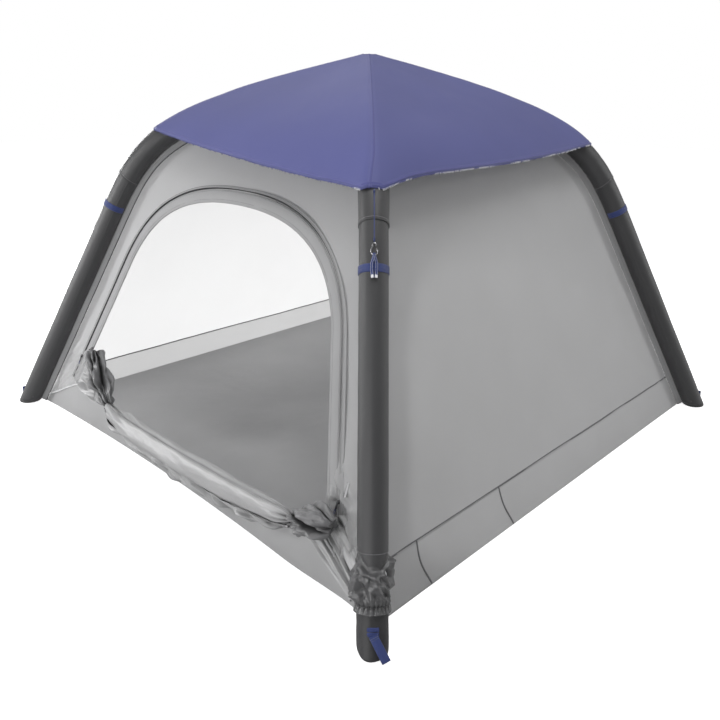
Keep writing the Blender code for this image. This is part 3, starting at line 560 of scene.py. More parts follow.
def make_materials():
    shiny = {"specular": 0.7, "sheen": 0.05}
    stiff = {"weave": 0.5}
    FINISH.update(
        wall=cloth("wall_cloth", grey(0.385), roughness=0.5, glow=0.26),
        # hollow paints shade into the fold depths of the door, corner, bundle and cuff cloths
        rolled=cloth("door_cloth", grey(0.36), roughness=0.36, hollow=0.9, **shiny),
        corner=cloth("corner_cloth", grey(0.40), roughness=0.36, hollow=0.6, **shiny),
        # The bundles are the door's own cloth painted much darker: painted shade for the wall's shadow they
        # lie in.
        bundle=cloth("bundle_cloth_painted_shade", grey(0.165), roughness=0.34, specular=0.8, sheen=0.05, hollow=0.9),
        # A lit copy of the wall cloth for the back, left and door walls. It is brighter and more see-through
        # than the plain copy on the right wall: painted light.
        lit_wall=cloth("lit_wall_cloth", grey(0.42), roughness=0.5, glow=0.40, through=(1, 1, 1)),
        wall_shade=cloth("wall_seam_tape", grey(0.13)),
        tub=cloth("tub_cloth", grey(0.385), glow=0.28, roughness=0.45),
        floor=cloth("floor_cloth", grey(0.40), crumple=0.35),
        sleeve=cloth("sleeve_cloth", grey(0.044, 0.002), roughness=0.44, sheen=0.12, specular=0.5),
        cuff=cloth(
            "cuff_cloth",
            grey(0.070, 0.003),
            roughness=0.24,
            crumple=0.1,
            sheen=0.05,
            specular=0.8,
            hollow=0.7,
        ),
        boot=cloth("boot_cloth", grey(0.028, 0.002), roughness=0.46, sheen=0.05, specular=0.5),
        fly=cloth("fly_cloth", (0.080, 0.088, 0.250), roughness=0.6, sheen=0.2, glow=0.06),
        fly_seam=cloth("fly_seam", (0.075, 0.08, 0.24)),
        trim=cloth("door_tape", grey(0.33), thread=0.0016, rib=0.0016, glow=0.1),
        net=net_material(),
        webbing=cloth("webbing", (0.040, 0.058, 0.185), thread=0.0022, rib=0.0011, weave=0.8, specular=0.2),
        cord=cloth("braided_cord", (0.035, 0.05, 0.16), thread=0.0016, rib=0.0022, weave=1.0),
        thread_white=cloth("white_thread", grey(0.80, 0.02), **stiff),
        thread_grey=cloth("grey_thread", grey(0.20, 0.01), **stiff),
        thread_navy=cloth("navy_thread", (0.05, 0.06, 0.2), **stiff),
        piping=cloth("pale_piping", grey(0.72, 0.01)),
        label=cloth("label_tape", grey(0.40, 0.01), thread=0.0007, rib=0.0007),
        dark=cloth("dark_tape", grey(0.045, 0.002), thread=0.0016, rib=0.0016),
        plastic=hard("black_plastic", grey(0.022, 0.002), 0.42),
        zip=hard("zip_plastic", grey(0.035, 0.003), 0.4),
        metal=hard("steel_wire", grey(0.62, 0.02), 0.22, metallic=1.0, grain=0.05),
        film=hard("bladder_film", (0.75, 0.76, 0.78), 0.3, grain=0.05),
    )


# ---- The legs' centre line and the surfaces that follow it ----


def leg_table():
    """Dense points of a leg's centre line in its diagonal plane: run, (radius, height) and heading."""
    knee = np.array([FOOT_RADIUS - KNEE_HEIGHT * math.tan(LEG_LEAN), KNEE_HEIGHT])
    foot = np.array([FOOT_RADIUS, 0.0])
    below = foot + (knee - foot) * np.linspace(-0.06, 1, 70)[:-1, None]
    lean = np.array([-math.sin(LEG_LEAN), math.cos(LEG_LEAN)])
    roof = np.array([ROOF_HANDLE * math.cos(ROOF_PITCH), APEX_HEIGHT - ROOF_HANDLE * math.sin(ROOF_PITCH)])
    t = np.linspace(0, 1, 300)[:, None]
    curve = (
        knee * (1 - t) ** 3
        + (knee + lean * SHOULDER_HANDLE) * 3 * t * (1 - t) ** 2
        + roof * 3 * t * t * (1 - t)
        + np.array([0, APEX_HEIGHT]) * t**3
    )
    line = np.vstack([below, curve])
    heading = unit(np.gradient(line, axis=0))
    run = np.concatenate([[0], np.cumsum(np.linalg.norm(np.diff(line, axis=0), axis=1))])
    run -= np.interp(0.0, line[:, 1], run)
    return run, line, heading


RUN, LINE, HEADING = leg_table()
CORNER = LINE - np.stack([HEADING[:, 1], -HEADING[:, 0]], 1) * (SLEEVE_RADIUS + FLANGE)


def run_at(height):
    return np.interp(height, LINE[:, 1], RUN)


def run_at_radius(radius):
    return np.interp(-radius, -LINE[:, 0], RUN)


def half_width(height):
    return np.interp(height, CORNER[:, 1], CORNER[:, 0]) / math.sqrt(2)


def leg_axes(leg, run):
    """Centre, heading, outward normal and sideways direction, at each run along one leg."""
    sx, sy = LEGS[leg]
    away = np.array([sx, sy, 0]) / math.sqrt(2)
    radius = np.interp(run, RUN, LINE[:, 0])[..., None]
    height = np.interp(run, RUN, LINE[:, 1])[..., None]
    ahead_r = np.interp(run, RUN, HEADING[:, 0])[..., None]
    ahead_z = np.interp(run, RUN, HEADING[:, 1])[..., None]
    up = np.array([0.0, 0.0, 1.0])
    side = np.array([-away[1], away[0], 0.0])
    return away * radius + up * height, away * ahead_r + up * ahead_z, away * ahead_z - up * ahead_r, side


def on_leg(leg, run, angle, radius):
    """Points round a leg. Angle 0 faces straight out, and it turns to the right as seen from outside."""
    centre, _, normal, side = leg_axes(leg, run)
    return centre + radius[..., None] * (np.cos(angle)[..., None] * normal + np.sin(angle)[..., None] * side)


def level_run(angle, radius, height):
    """The run along a straight leg where its surface is at this height."""
    return (height - radius * np.cos(angle) * math.sin(LEG_LEAN)) / math.cos(LEG_LEAN)


def turned(points, turns):
    for _ in range(turns):
        points = np.stack([-points[..., 1], points[..., 0], points[..., 2]], -1)
    return points


def on_wall(turns, x, z, out=0.0):
    """Points on one wall's outer face, and a distance out from it. Turns counts from the door wall."""
    x, z = np.broadcast_arrays(np.asarray(x, float), np.asarray(z, float))
    slope = (half_width(z + 0.006) - half_width(z - 0.006)) / 0.012
    normal = unit(np.stack([np.zeros_like(x), -np.ones_like(x), -slope], -1))
    base = np.stack([x, -half_width(z), z], -1)
    return turned(base + normal * np.asarray(out)[..., None], turns), turned(normal, turns)


def drape(turns, x, z):
    """How far a stretched panel stands off its plane: a slight hollow, soft folds and corner creases."""
    width = half_width(z)
    across = np.clip(np.abs(x) / width, 0, 1)
    rise = np.clip((z - SEAM_HEIGHT) / (WALL_TOP - SEAM_HEIGHT), 0, 1)
    hollow = -0.010 * (1 - across**2) * np.sin(math.pi * rise)
    place = np.stack([x, z, np.full_like(x, 7.3 * turns)], -1)
    folds = 0.0032 * noise(place / 0.26, 3) + 0.0012 * noise(place / 0.09, 4)
    from_side = width - np.abs(x)
    reach = np.hypot(from_side, z - 0.02)
    spoke = np.arctan2(z - 0.02, from_side)
    corner = 0.0022 * np.exp(-reach / 0.22) * np.cos(spoke * 15 + np.sign(x))
    fade = smooth(0.0, 0.05, from_side)
    return hollow + (folds + corner) * fade


# ---- Air legs ----


def bend_creases(run, angle, place):
    """Small folds on the inside of the shoulder bend."""
    bend = np.exp(-(((run - run_at(1.15)) / 0.16) ** 2))
    inside = np.clip(-np.cos(angle), 0, 1)
    return 0.0012 * bend * inside * np.sin(run / 0.0045 + 3 * noise(place / 0.03, 12))


def leg_skin(leg, first, last, angle, steps, seed):
    """Rows of points round a leg between two runs, which may differ round it."""
    share = np.linspace(0, 1, steps)[:, None]
    run = first + (last - first) * share
    angle = np.broadcast_to(angle, run.shape)
    place = on_leg(leg, run, angle, np.full(run.shape, SLEEVE_RADIUS))
    ripple = 0.0005 * noise(place / 0.07, seed) + 0.00025 * creases(place / 0.035, seed + 1)
    long_fold = 0.0004 * noise(np.stack([angle * 2.2, run / 0.5, run * 0 + seed], -1), 5)
    radius = SLEEVE_RADIUS - 0.0006 + ripple + long_fold + bend_creases(run, angle, place)
    return on_leg(leg, run, angle, radius), run


def sleeve_end(angle):
    """Where the front right sleeve ends: a rounded tongue down the front, higher at the sides."""
    return run_at(0.184) + 0.042 * smooth(0.25, 1.45, np.abs(angle - 0.18))


def make_sleeve(leg):
    angle = np.linspace(-math.pi, math.pi, 56, endpoint=False)[None, :]
    if leg == "front_right":
        first = sleeve_end(angle)
    else:
        first = level_run(angle, SLEEVE_RADIUS, SOLE_HEIGHT + 0.0006)
    last = run_at_radius(HUB_RADIUS - 0.0004) + angle * 0
    skin, run = leg_skin(leg, first, last, angle, 210, 21)
    if leg == "front_right":
        centre = leg_axes(leg, run)[0]
        curl = 1 - 0.055 * (1 - smooth(0.0, 0.016, run - first))
        skin = centre + (skin - centre) * curl[..., None]
    shape = Shape().grid(skin, wrap_cols=True)
    for turn in (-1.9, 1.9):
        line = np.linspace(float(np.max(first)) + 0.004, run_at_radius(HUB_RADIUS), 170)
        path, out = around(leg, line, np.full_like(line, turn), SLEEVE_RADIUS - 0.0004)
        welt(shape, path, out, 0.0045, 0.0007)
    if leg == "front_right":
        ring = np.linspace(-2.6, 2.6, 60)
        line = sleeve_end(0 * ring) + 0.042 + 0.006 * (1 - np.cos(ring))
        path, out = around(leg, line, ring, SLEEVE_RADIUS - 0.0001)
        dashes(shape, path, out, *LONG_STITCH, slot=1)
    path, out = around(leg, run_at_radius(HUB_RADIUS), np.linspace(-1.5, 1.5, 40), SLEEVE_RADIUS + 0.0002)
    welt(shape, path, out, 0.012, 0.0012)
    looks = ("sleeve_fabric", "sleeve", "thread_grey")
    shape.piece("leg_sleeve_" + leg, *looks, cad="sleeve_" + leg, thickness=CLOTH)


def make_flange(leg):
    """The sewn strip between a leg and the corner of the walls, with the corner's piping."""
    low = run_at(0.03 if leg != "front_right" else 0.20)
    run = np.linspace(low, run_at(1.26), 190)
    centre, _, normal, side = leg_axes(leg, run)
    reach = np.linspace(SLEEVE_RADIUS - 0.0015, SLEEVE_RADIUS + FLANGE - 0.003, 6)
    wave = 0.0006 * noise(np.stack([run / 0.05, run * 0, run * 0], -1), 9)
    grid = centre[:, None] - normal[:, None] * reach[:, None]
    grid = grid + side * wave[:, None, None]
    shape = Shape()
    for offset in (-0.0011, 0.0011):
        shape.grid(grid + side * offset)
    ends = np.stack([grid[:, -1] - side * 0.0011, grid[:, -1] + side * 0.0011], 1)
    shape.grid(ends)
    for row in (grid[0], grid[-1]):
        shape.grid(np.stack([row - side * 0.0011, row + side * 0.0011]))
    for way in (-1, 1):
        line = centre - normal * (SLEEVE_RADIUS + 0.010) + side * (way * 0.0011 + wave[:, None])
        dashes(shape, line, np.broadcast_to(side * way, line.shape), *LONG_STITCH, slot=1)
    shape.piece("flange_" + leg, "sleeve_fabric", "trim", "thread_grey", weld=True)
    piping = Shape()
    corner = centre - normal * (SLEEVE_RADIUS + FLANGE - 0.0015)
    tube(piping, corner + side * wave[:, None], 0.0019, sides=8)
    # Only the front left leg's piping is dark tape: painted shade for the gap beside that leg. The other
    # corners have plain trim.
    piping.piece("corner_piping_" + leg, "trim_fabric", "dark" if leg == "front_left" else "trim")


def make_hub():
    """The hub under the fly, where the four sleeves are sewn together."""
    rounded_block("hub_sleeve", "sleeve_hub", "sleeve", "tent", "sleeve_fabric", 0.006)


def place_piece(obj, body, slot, *nodes):
    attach(obj, body)
    if nodes:
        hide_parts(*nodes)
    return obj


def make_feet():
    """Three closed sleeve ends, and the tall boot with squared sides on the front right leg."""
    angle = np.linspace(-math.pi, math.pi, 72, endpoint=False)[None, :]
    for leg in LEGS:
        tall = leg == "front_right"
        top = BOOT_TOP if tall else SOLE_HEIGHT
        rows = 70 if tall else 14
        height = np.concatenate([np.linspace(0.0002, 0.012, 10)[:-1], np.linspace(0.012, top, rows - 9)])
        height = height[height <= top + 1e-6][:, None]
        full = BOOT_RADIUS if tall else SLEEVE_RADIUS
        square = 0.035 * np.cos(4 * (angle + math.radians(27))) if tall else 0 * angle
        rounding = 0.007 * (1 - np.sqrt(np.clip(1 - np.clip(1 - height / 0.010, 0, 1) ** 2, 0, 1)))
        radius = full * (1 + square * (1 - smooth(0.10, 0.16, height))) - rounding
        run = level_run(angle, radius, height)
        radius = np.broadcast_to(radius, run.shape)
        angles = np.broadcast_to(angle, run.shape)
        skin = on_leg(leg, run, angles, radius)
        if tall:
            place = skin / 0.03
            middle = smooth(0.005, 0.03, height) * (1 - smooth(0.1, 0.17, height))
            dent = 0.0012 * creases(place, 31) * middle
            skin = on_leg(leg, run, angles, radius + dent)
        shape = Shape().grid(skin, wrap_cols=True)
        cap(shape, skin[0])
        if not tall:
            cap(shape, skin[-1])
        shape.piece(
            "leg_foot_" + leg,
            "sleeve_fabric",
            "boot" if tall else "sleeve",
            cad="foot_" + leg,
            thickness=CLOTH if tall else 0,
        )


# Levels up the cuff, with its least radius and how far it bulges to the front at each
CUFF_LEVELS = (0.086, 0.094, 0.103, 0.110, 0.122, 0.140, 0.160, 0.185, 0.236)
CUFF_LEAST = (0.046, 0.0450, 0.0438, 0.0455, 0.047, 0.0480, 0.0475, 0.0465, 0.0450)
CUFF_BULGE = (0.007, 0.005, 0.0020, 0.007, 0.013, 0.015, 0.012, 0.006, 0.002)
CUFF_ELASTIC = 0.103
VALVE_LEVEL = 0.146


def make_cuff():
    """The elastic cuff over the valve: loose slanting folds above, gathered into a ruffle below."""
    angle = np.linspace(-math.pi, math.pi, 260, endpoint=False)[None, :]
    height = np.linspace(CUFF_LEVELS[-1], CUFF_LEVELS[0], 150)[:, None]
    least = np.interp(height, CUFF_LEVELS, CUFF_LEAST)
    bulge = np.interp(height, CUFF_LEVELS, CUFF_BULGE)
    radius = least + bulge * ((1 + np.cos(angle + 0.35)) / 2) ** 0.8
    ring_drop = 0.010 * (1 - np.cos(angle)) / 2
    run = np.broadcast_to(run_at(height) + ring_drop, radius.shape)
    angles = np.broadcast_to(angle, radius.shape)
    below = sleeve_end(angle) - run
    radius = 0.0405 + (radius - 0.0405) * smooth(-0.001, 0.016, below)
    place = on_leg("front_right", run, angles, radius)
    loose = smooth(CUFF_ELASTIC, 0.128, height) * smooth(0.002, 0.022, below)
    slant = place + np.array([0, 0, 1]) * (0.055 * np.sin(angles))[..., None]
    over_valve = np.exp(-((angle / 0.42) ** 2) - ((height - VALVE_LEVEL) / 0.032) ** 2)
    radius = radius + 0.0105 * over_valve
    folds = crumple(slant / np.array([0.10, 0.10, 0.055]), 41, folds=4, warp=0.3)
    folds = 0.0165 * (1 - 0.4 * over_valve) * folds
    folds = folds + 0.0022 * crumple(place / 0.034, 43, folds=4)
    gather = lobes(angle, 24, 8, sway=2.2) - 0.6
    fine = lobes(angle, 46, 9, sway=3.0) - 0.6
    from_elastic = np.abs(height - CUFF_ELASTIC)
    near = np.exp(-from_elastic / 0.013) * smooth(0.0, 0.003, from_elastic + 0.0012)
    ruffle = (0.0060 * gather + 0.0016 * fine) * near
    skin = on_leg("front_right", run, angles, radius + folds * loose + ruffle)
    shape = Shape().grid(skin, wrap_cols=True)
    ring = np.linspace(-math.pi, math.pi, 120, endpoint=False)
    band_run = run_at(CUFF_ELASTIC) + 0.010 * (1 - np.cos(ring)) / 2
    reach = 0.0448 + 0.0010 * (1 + np.cos(ring + 0.35))
    path = on_leg("front_right", band_run, ring, reach)
    tube(shape, path, 0.0017, sides=8, slot=1, closed=True)
    looks = ("sleeve_fabric", "cuff", "dark")
    obj = shape.piece("valve_cuff_cloth", *looks, cad="valve_cuff", thickness=CLOTH)


# ---- Trim on the legs ----


def around(leg, run, angle, radius):
    """A path round a leg at a run, with its outward directions."""
    run = np.broadcast_to(run, angle.shape)
    path = on_leg(leg, run, angle, np.broadcast_to(radius, angle.shape))
    return path, unit(path - leg_axes(leg, run)[0])


def make_collar(leg):
    """The sleeve's short outer cover at the shoulder, with an arched lower edge and a flared top."""
    angle = np.linspace(-2.85, 2.85, 96)[None, :]
    low = run_at(COLLAR_EDGE) - 0.011 * (1 - np.cos(angle)) / 2
    high = run_at(FLY_CORNER[leg] + 0.055)
    share = np.linspace(0, 1, 40)[:, None]
    run = low + (high - low) * share
    angles = np.broadcast_to(angle, run.shape)
    radius = SLEEVE_RADIUS + 0.0014 + 0.0022 * share * np.exp(-((np.abs(angles) - 1.3) ** 2) / 0.3)
    place = on_leg(leg, run, angles, radius)
    radius = radius + 0.0006 * noise(place / 0.04, 51) + 0.0003 * creases(place / 0.02, 52)
    shape = Shape().grid(on_leg(leg, run, angles, radius))
    edge = on_leg(leg, low[0] + 0.0015, angle[0], np.full_like(angle[0], SLEEVE_RADIUS + 0.0018))
    out = edge - leg_axes(leg, low[0])[0]
    welt(shape, edge, out, 0.0022, 0.0008)
    above = on_leg(leg, low[0] + 0.008, angle[0], np.full_like(angle[0], SLEEVE_RADIUS + 0.0019))
    dashes(shape, above, out, *FINE_STITCH, slot=1)
    looks = ("sleeve_fabric", "sleeve", "thread_grey")
    shape.piece("shoulder_collar_" + leg, *looks, cad="collar_" + leg, thickness=CLOTH)


def strap(shape, path, out, width, thickness):
    """Webbing: a flat strip with a row of stitches along each selvedge."""
    welt(shape, path, out, width, thickness, sink=0.0, sides=9)
    for way in (-1, 1):
        _, up, side = frames(path, out)
        edge = path + side * way * (width / 2 - 0.002) + up * thickness * 0.8
        dashes(shape, edge, up, 0.004, 0.0024, width=0.0007, height=0.0004, slot=1)


def hook_frame(leg):
    """Where a hook hangs beside its leg: base, up along the leg, across and out."""
    run = np.array([run_at(BAND_HEIGHT)])
    centre, along, normal, side = leg_axes(leg, run)
    turn = HOOK_ANGLE[leg]
    out = math.cos(turn) * normal[0] + math.sin(turn) * side
    up = along[0]
    origin = centre[0] + out * (SLEEVE_RADIUS + 0.0061)
    return origin, up, np.cross(up, out), out


def make_band(leg):
    """The webbing band round a leg, with its loop and tails for the fly's hook."""
    shape = Shape()
    angle = np.linspace(-2.75, 2.75, 90)
    path, out = around(leg, run_at(BAND_HEIGHT), angle, SLEEVE_RADIUS + 0.0006)
    strap(shape, path, out, 0.024, 0.0016)
    shape.piece("leg_band_" + leg, "webbing", "webbing", "thread_navy", cad="band_" + leg)
    origin, up, across, out = hook_frame(leg)
    loop = Shape()
    share = np.linspace(0, 1, 40)
    for way in (-1, 1):
        along = LOOP_TOP - 0.0015 - share * 0.068
        apart = way * (0.0006 + 0.0062 * smooth(0.05, 0.42, share) - 0.0016 * smooth(0.62, 1, share))
        stand = 0.0006 - 0.0040 * smooth(0.15, 0.42, share) + 0.0032 * smooth(0.7, 1, share)
        line = origin + up * along[:, None] + across * apart[:, None] + out * stand[:, None]
        lean = np.broadcast_to(out + across * way * 0.25, line.shape)
        strap(loop, line, lean, 0.0096, 0.0013)
        tail = line[-6:] + lean[0] * 0.0008
        welt(loop, tail, lean[-6:], 0.0082, 0.0012, slot=1)
    fold = np.linspace(0, math.pi, 18)[:, None]
    saddle = origin + up * (LOOP_TOP - 0.0035 + 0.0035 * np.sin(fold))
    saddle = saddle + out * (0.0006 + 0.0022 * np.cos(fold))
    welt(loop, saddle, up * np.sin(fold) + out * np.cos(fold), 0.0085, 0.0013, sink=0.0)
    loop.piece("hook_loop_" + leg, "webbing", "webbing", "thread_white", cad="band_loop_" + leg)


def make_hook(leg):
    """A bent wire hook: an eye for the cord, a shank and an open bend through the webbing loop."""
    origin, up, across, _ = hook_frame(leg)
    base = origin + up * HOOK_BASE
    half = HOOK_HALF
    turn = np.radians(np.linspace(-50, 240, 40))
    points = [np.stack([HOOK_EYE * np.cos(turn), HOOK_EYE_HEIGHT + HOOK_EYE * np.sin(turn)], 1)]
    bend = np.radians(np.linspace(180, 360, 28))
    points.append(np.array([[-0.0072, HOOK_EYE_HEIGHT - 0.0085], [-half, HOOK_EYE_HEIGHT - 0.013]]))
    points.append(np.stack([half * np.cos(bend), half * (1 + np.sin(bend))], 1))
    points.append(np.array([[half - 0.0002, 0.0125], [half - 0.0009, 0.0155], [half - 0.0025, 0.018]]))
    flat = resample(np.vstack(points), count=110)
    for _ in range(3):
        flat[1:-1] = (flat[:-2] + 2 * flat[1:-1] + flat[2:]) / 4
    path = base + across * flat[:, :1] + up * flat[:, 1:]
    shape = Shape()
    tube(shape, path, HOOK_WIRE, sides=12)
    shape.piece("wire_hook_" + leg, "hook_metal", "metal", cad="fly_hook_" + leg)


def make_fly_cord(leg):
    """The taut cord from the fly's corner to its hook."""
    origin, up, _, out = hook_frame(leg)
    end = origin + up * (HOOK_BASE + HOOK_EYE_HEIGHT + HOOK_EYE + 0.00325)
    turn = HOOK_ANGLE[leg]

    def beside(run):
        centre, _, normal, side = leg_axes(leg, run)
        return centre + (math.cos(turn) * normal + math.sin(turn) * side) * (SLEEVE_RADIUS + 0.006)

    start = run_at(FLY_CORNER[leg] - 0.004)
    runs = np.linspace(run_at(0.80), start, 400)
    finish_run = np.interp(end[2], beside(runs)[:, 2], runs)
    share = np.linspace(0, 1, 26)
    path = beside(start + (finish_run - start) * share)
    path = path + (end - path[-1]) * share[:, None]
    curve = bpy.data.curves.new("fly_cord_line_" + leg, "CURVE")
    curve.dimensions = "3D"
    curve.bevel_depth = CORD_RADIUS
    curve.bevel_resolution = 4
    curve.use_fill_caps = True
    spline = curve.splines.new("POLY")
    spline.points.add(len(path) - 1)
    for knot, point in zip(spline.points, path):
        knot.co = (*point, 1.0)
    curve.materials.append(FINISH["cord"])
    obj = bpy.data.objects.new("fly_cord_line_" + leg, curve)
    bpy.context.scene.collection.objects.link(obj)
    place_piece(obj, "fly", "cord", "fly_cord_" + leg)
    knot = Shape()
    wrap = np.linspace(0, 3 * 2 * math.pi, 60)
    for place, end in ((path[1], path[0]), (path[-2], path[-1])):
        ahead = unit(place - end)
        first = unit(np.cross(ahead, out))
        second = np.cross(ahead, first)
        coil = place + ahead * (wrap / wrap[-1] * 0.007 - 0.002)[:, None]
        coil = coil + 0.0022 * (np.cos(wrap)[:, None] * first + np.sin(wrap)[:, None] * second)
        tube(knot, coil, 0.0011, sides=7)
    knots = knot.piece("cord_knots_" + leg, "cord", "cord", body="fly")


def peg_frame(leg):
    """A peg loop's upper fold, its directions out and up, its length and its webbing's width."""
    if leg == "front_right":
        run = np.array([run_at(BOOT_LOOP_LEVEL)])
        centre, along, normal, side = leg_axes(leg, run)
        up = along[0] * math.cos(BOOT_LOOP_SLANT) - side * math.sin(BOOT_LOOP_SLANT)
        return centre[0] + normal[0] * BOOT_LOOP_OUT, normal[0], up, BOOT_LOOP_LENGTH, BOOT_LOOP_WIDTH
    low, high = (np.array(corner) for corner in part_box("peg_loop_" + leg))
    sx, sy = LEGS[leg]
    out = np.array([sx, 0.0, 0.0]) if leg == "front_left" else np.array([0.0, sy, 0.0])
    top = np.array([*(low + high)[:2] / 2, high[2] - PEG_FOLD])
    return top, out, np.array([0, 0, 1.0]), high[2] - low[2] - 2 * PEG_FOLD, PEG_LOOP_WIDTH


def make_peg_loop(leg):
    """The webbing loop at a foot, sewn shut at its top, and the patch that holds it."""
    top, out, up, length, width = peg_frame(leg)
    across = np.cross(up, out)
    v = np.linspace(0, 1, 36)
    gap = 0.0013 + 0.0034 * smooth(0.08, 0.55, v)
    bend = np.linspace(0, math.pi, 16)[1:-1]
    sideways = np.concatenate([gap, gap[-1] * np.cos(bend), -gap[::-1]])
    down = np.concatenate([v * length, length + gap[-1] * np.sin(bend), v[::-1] * length])
    curl = 0.0012 * np.sin(down / length * 2.6)
    line = top + out * (sideways + curl)[:, None] - up * down[:, None]
    tangent = unit(np.gradient(line, axis=0))
    normal = np.cross(tangent, across)
    half = np.array([-1, -0.92, 0, 0.92, 1]) * width / 2
    lift = np.array([0, 0.00075, 0.00075, 0.00075, 0])
    ring = []
    for x, y in [*zip(half, lift), *zip(half[::-1][1:-1], -lift[::-1][1:-1])]:
        ring.append(line + across * x + normal * y)
    shape = Shape().grid(np.stack(ring, 1), wrap_cols=True)
    for height in (0.006, 0.011):
        row = np.linspace(-1, 1, 20)[:, None] * across * (width / 2 - 0.002) - up * height + top
        row = row + out * (gap[0] + 0.0009)
        dashes(shape, row, np.broadcast_to(out, row.shape), 0.0030, 0.0019, slot=1)
    loop = "peg_loop_" + leg
    shape.piece("peg_strap_" + leg, "webbing", "webbing", "thread_grey", cad=loop, body=loop)
    make_peg_patch(leg, out)


def make_peg_patch(leg, out):
    patch = Shape()
    angle = 0.72 * math.atan2(np.dot(out, leg_axes(leg, 0.0)[3]), np.dot(out, leg_axes(leg, 0.0)[2]))
    radius, reach, heights = SLEEVE_RADIUS + 0.0004, 0.30, (0.050, 0.060)
    if leg == "front_right":
        radius, reach, heights = 0.0440, 0.36, (0.064, 0.075)
    for z in heights:
        sweep = np.linspace(angle - reach, angle + reach, 20)
        path, outward = around(leg, float(level_run(angle, radius, z)), sweep, radius)
        welt(patch, path, outward, 0.0115, 0.0015)
        dashes(patch, path, outward, 0.003, 0.002, lift=0.0013, slot=1)
    patch.piece("peg_patch_" + leg, "webbing", "webbing", "thread_navy")


# ---- Walls, tub and net ----


def seam_lines(shape, path, out, width):
    """A flat taped seam with a row of stitches along each side."""
    welt(shape, path, out, width, 0.0011)
    _, up, side = frames(path, out)
    for way in (-1, 1):
        dashes(shape, path + side * way * width * 0.3, up, *FINE_STITCH, lift=0.0009, slot=1)


def make_plain_wall(name, turns):
    share = np.sin(np.linspace(-math.pi / 2, math.pi / 2, 150) * 0.98) / math.sin(math.pi / 2 * 0.98)
    z = np.linspace(SEAM_HEIGHT - 0.004, WALL_HEM, 120)[:, None]
    x = share[None, :] * (half_width(z) - 0.0012)
    zz = np.broadcast_to(z, x.shape)
    skin, _ = on_wall(turns, x, zz, drape(turns, x, zz))
    # The right wall takes the plain wall cloth, and the back and left walls the brighter lit copy: painted
    # light.
    obj = Shape().grid(skin).piece(
        name + "_cloth", "wall_fabric", "wall" if turns == 1 else "lit_wall", cad=name
    )
    seam = Shape()
    line = np.linspace(-1, 1, 240) * (half_width(SEAM_HEIGHT) - 0.002)
    level = np.full_like(line, SEAM_HEIGHT)
    path, out = on_wall(turns, line, level, drape(turns, line, level))
    seam_lines(seam, path, out, 0.0065)
    seam.piece("tub_seam_" + name, "trim_fabric", "wall_shade", "thread_grey")


ARCH_STEPS = 90


def arch():
    """The doorway's edge from its right foot over the top: x, z, outward (x, z) and share of the arch."""
    steps = ARCH_STEPS
    foot = np.array([DOOR_SILL_HALF, DOOR_SILL])
    low = np.linspace(foot, DOOR_SPRING, steps)[:-1]
    t = np.linspace(0, 1, steps)[:, None]
    a, b, c = (np.array(p) for p in (DOOR_SPRING, *DOOR_HANDLES))
    top = np.array([0, DOOR_TOP])
    curve = a * (1 - t) ** 3 + b * 3 * t * (1 - t) ** 2 + c * 3 * t * t * (1 - t) + top * t**3
    right = np.vstack([low, curve])
    share = np.concatenate([np.linspace(0, 1, steps)[:-1], np.linspace(1, 2, steps)])
    whole = np.vstack([right, right[-2::-1] * [-1, 1]])
    share = np.concatenate([share, share[-2::-1]])
    ahead = unit(np.gradient(whole, axis=0))
    return whole, np.stack([ahead[:, 1], -ahead[:, 0]], 1), share


ARCH, ARCH_OUT, ARCH_SHARE = arch()


def arch_offset(distance, lift=0.0):
    """The line beside the doorway's edge at this distance, on the door wall."""
    line = ARCH + ARCH_OUT * np.asarray(distance)[..., None]
    height = np.maximum(line[:, 1], DOOR_SILL - 0.01)
    return on_wall(0, line[:, 0], height, lift)


def door_crumple(x, z):
    """The slack cloth at the doorway's lower corners."""
    low = 1 - smooth(0.16, 0.42, z)
    edge = smooth(0.60, 0.80, np.abs(x))
    side = np.where(x > 0, 1.5, 0.7)
    fan = (1.02 - np.abs(x)) / (0.10 + np.clip(z, 0, 1) * 0.75)
    place = np.stack([fan * 4.2, z / 0.11, 3.3 * np.sign(x)], -1)
    return 0.0125 * crumple(place, 61, folds=6) * low * edge * side


def make_door_wall():
    past_top = 2 * ARCH_STEPS - 1
    share = np.concatenate([ARCH_SHARE[:past_top], 4 - ARCH_SHARE[past_top:]])
    up_share = np.where(share > 2, 4 - share, share)
    corner = CORNER_SEAM + 0.003
    z = np.where(
        up_share <= 1,
        corner + (DOOR_SPRING[1] - corner) * up_share,
        np.minimum(DOOR_SPRING[1] + (WALL_HEM - DOOR_SPRING[1]) * (up_share - 1) * 2, WALL_HEM),
    )
    x = np.where(up_share <= 1.5, half_width(z) - 0.001, (half_width(WALL_HEM) - 0.001) * (2 - up_share) * 2)
    outer = np.stack([np.where(share > 2, -x, x), z], 1)
    v = np.linspace(0, 1, 46)[None, :, None] ** 1.1
    flat = ARCH[:, None] + (outer - ARCH)[:, None] * v
    grid_x, grid_z = flat[..., 0], flat[..., 1]
    tight = smooth(0.0, 0.03, v[..., 0])
    sewn = 1 - smooth(0.84, 1.0, v[..., 0])
    push = (drape(0, grid_x, grid_z) + door_crumple(grid_x, grid_z) * sewn) * tight
    skin, _ = on_wall(0, grid_x, grid_z, push)
    obj = Shape().grid(skin).piece("wall_door_cloth", "wall_fabric", "lit_wall", cad="wall_door")


def dip_level(x, end):
    """How far the tub's top has come down beside the doorway, from 0 to 1, at a distance from the middle."""
    return np.clip((np.abs(x) - 0.80) / (end - 0.80), 0, 1)


def front_hem(x, low):
    """The front hem's place across, drawn in a little between the corners."""
    return -(low - 0.040 * (1 - (x / low) ** 2))


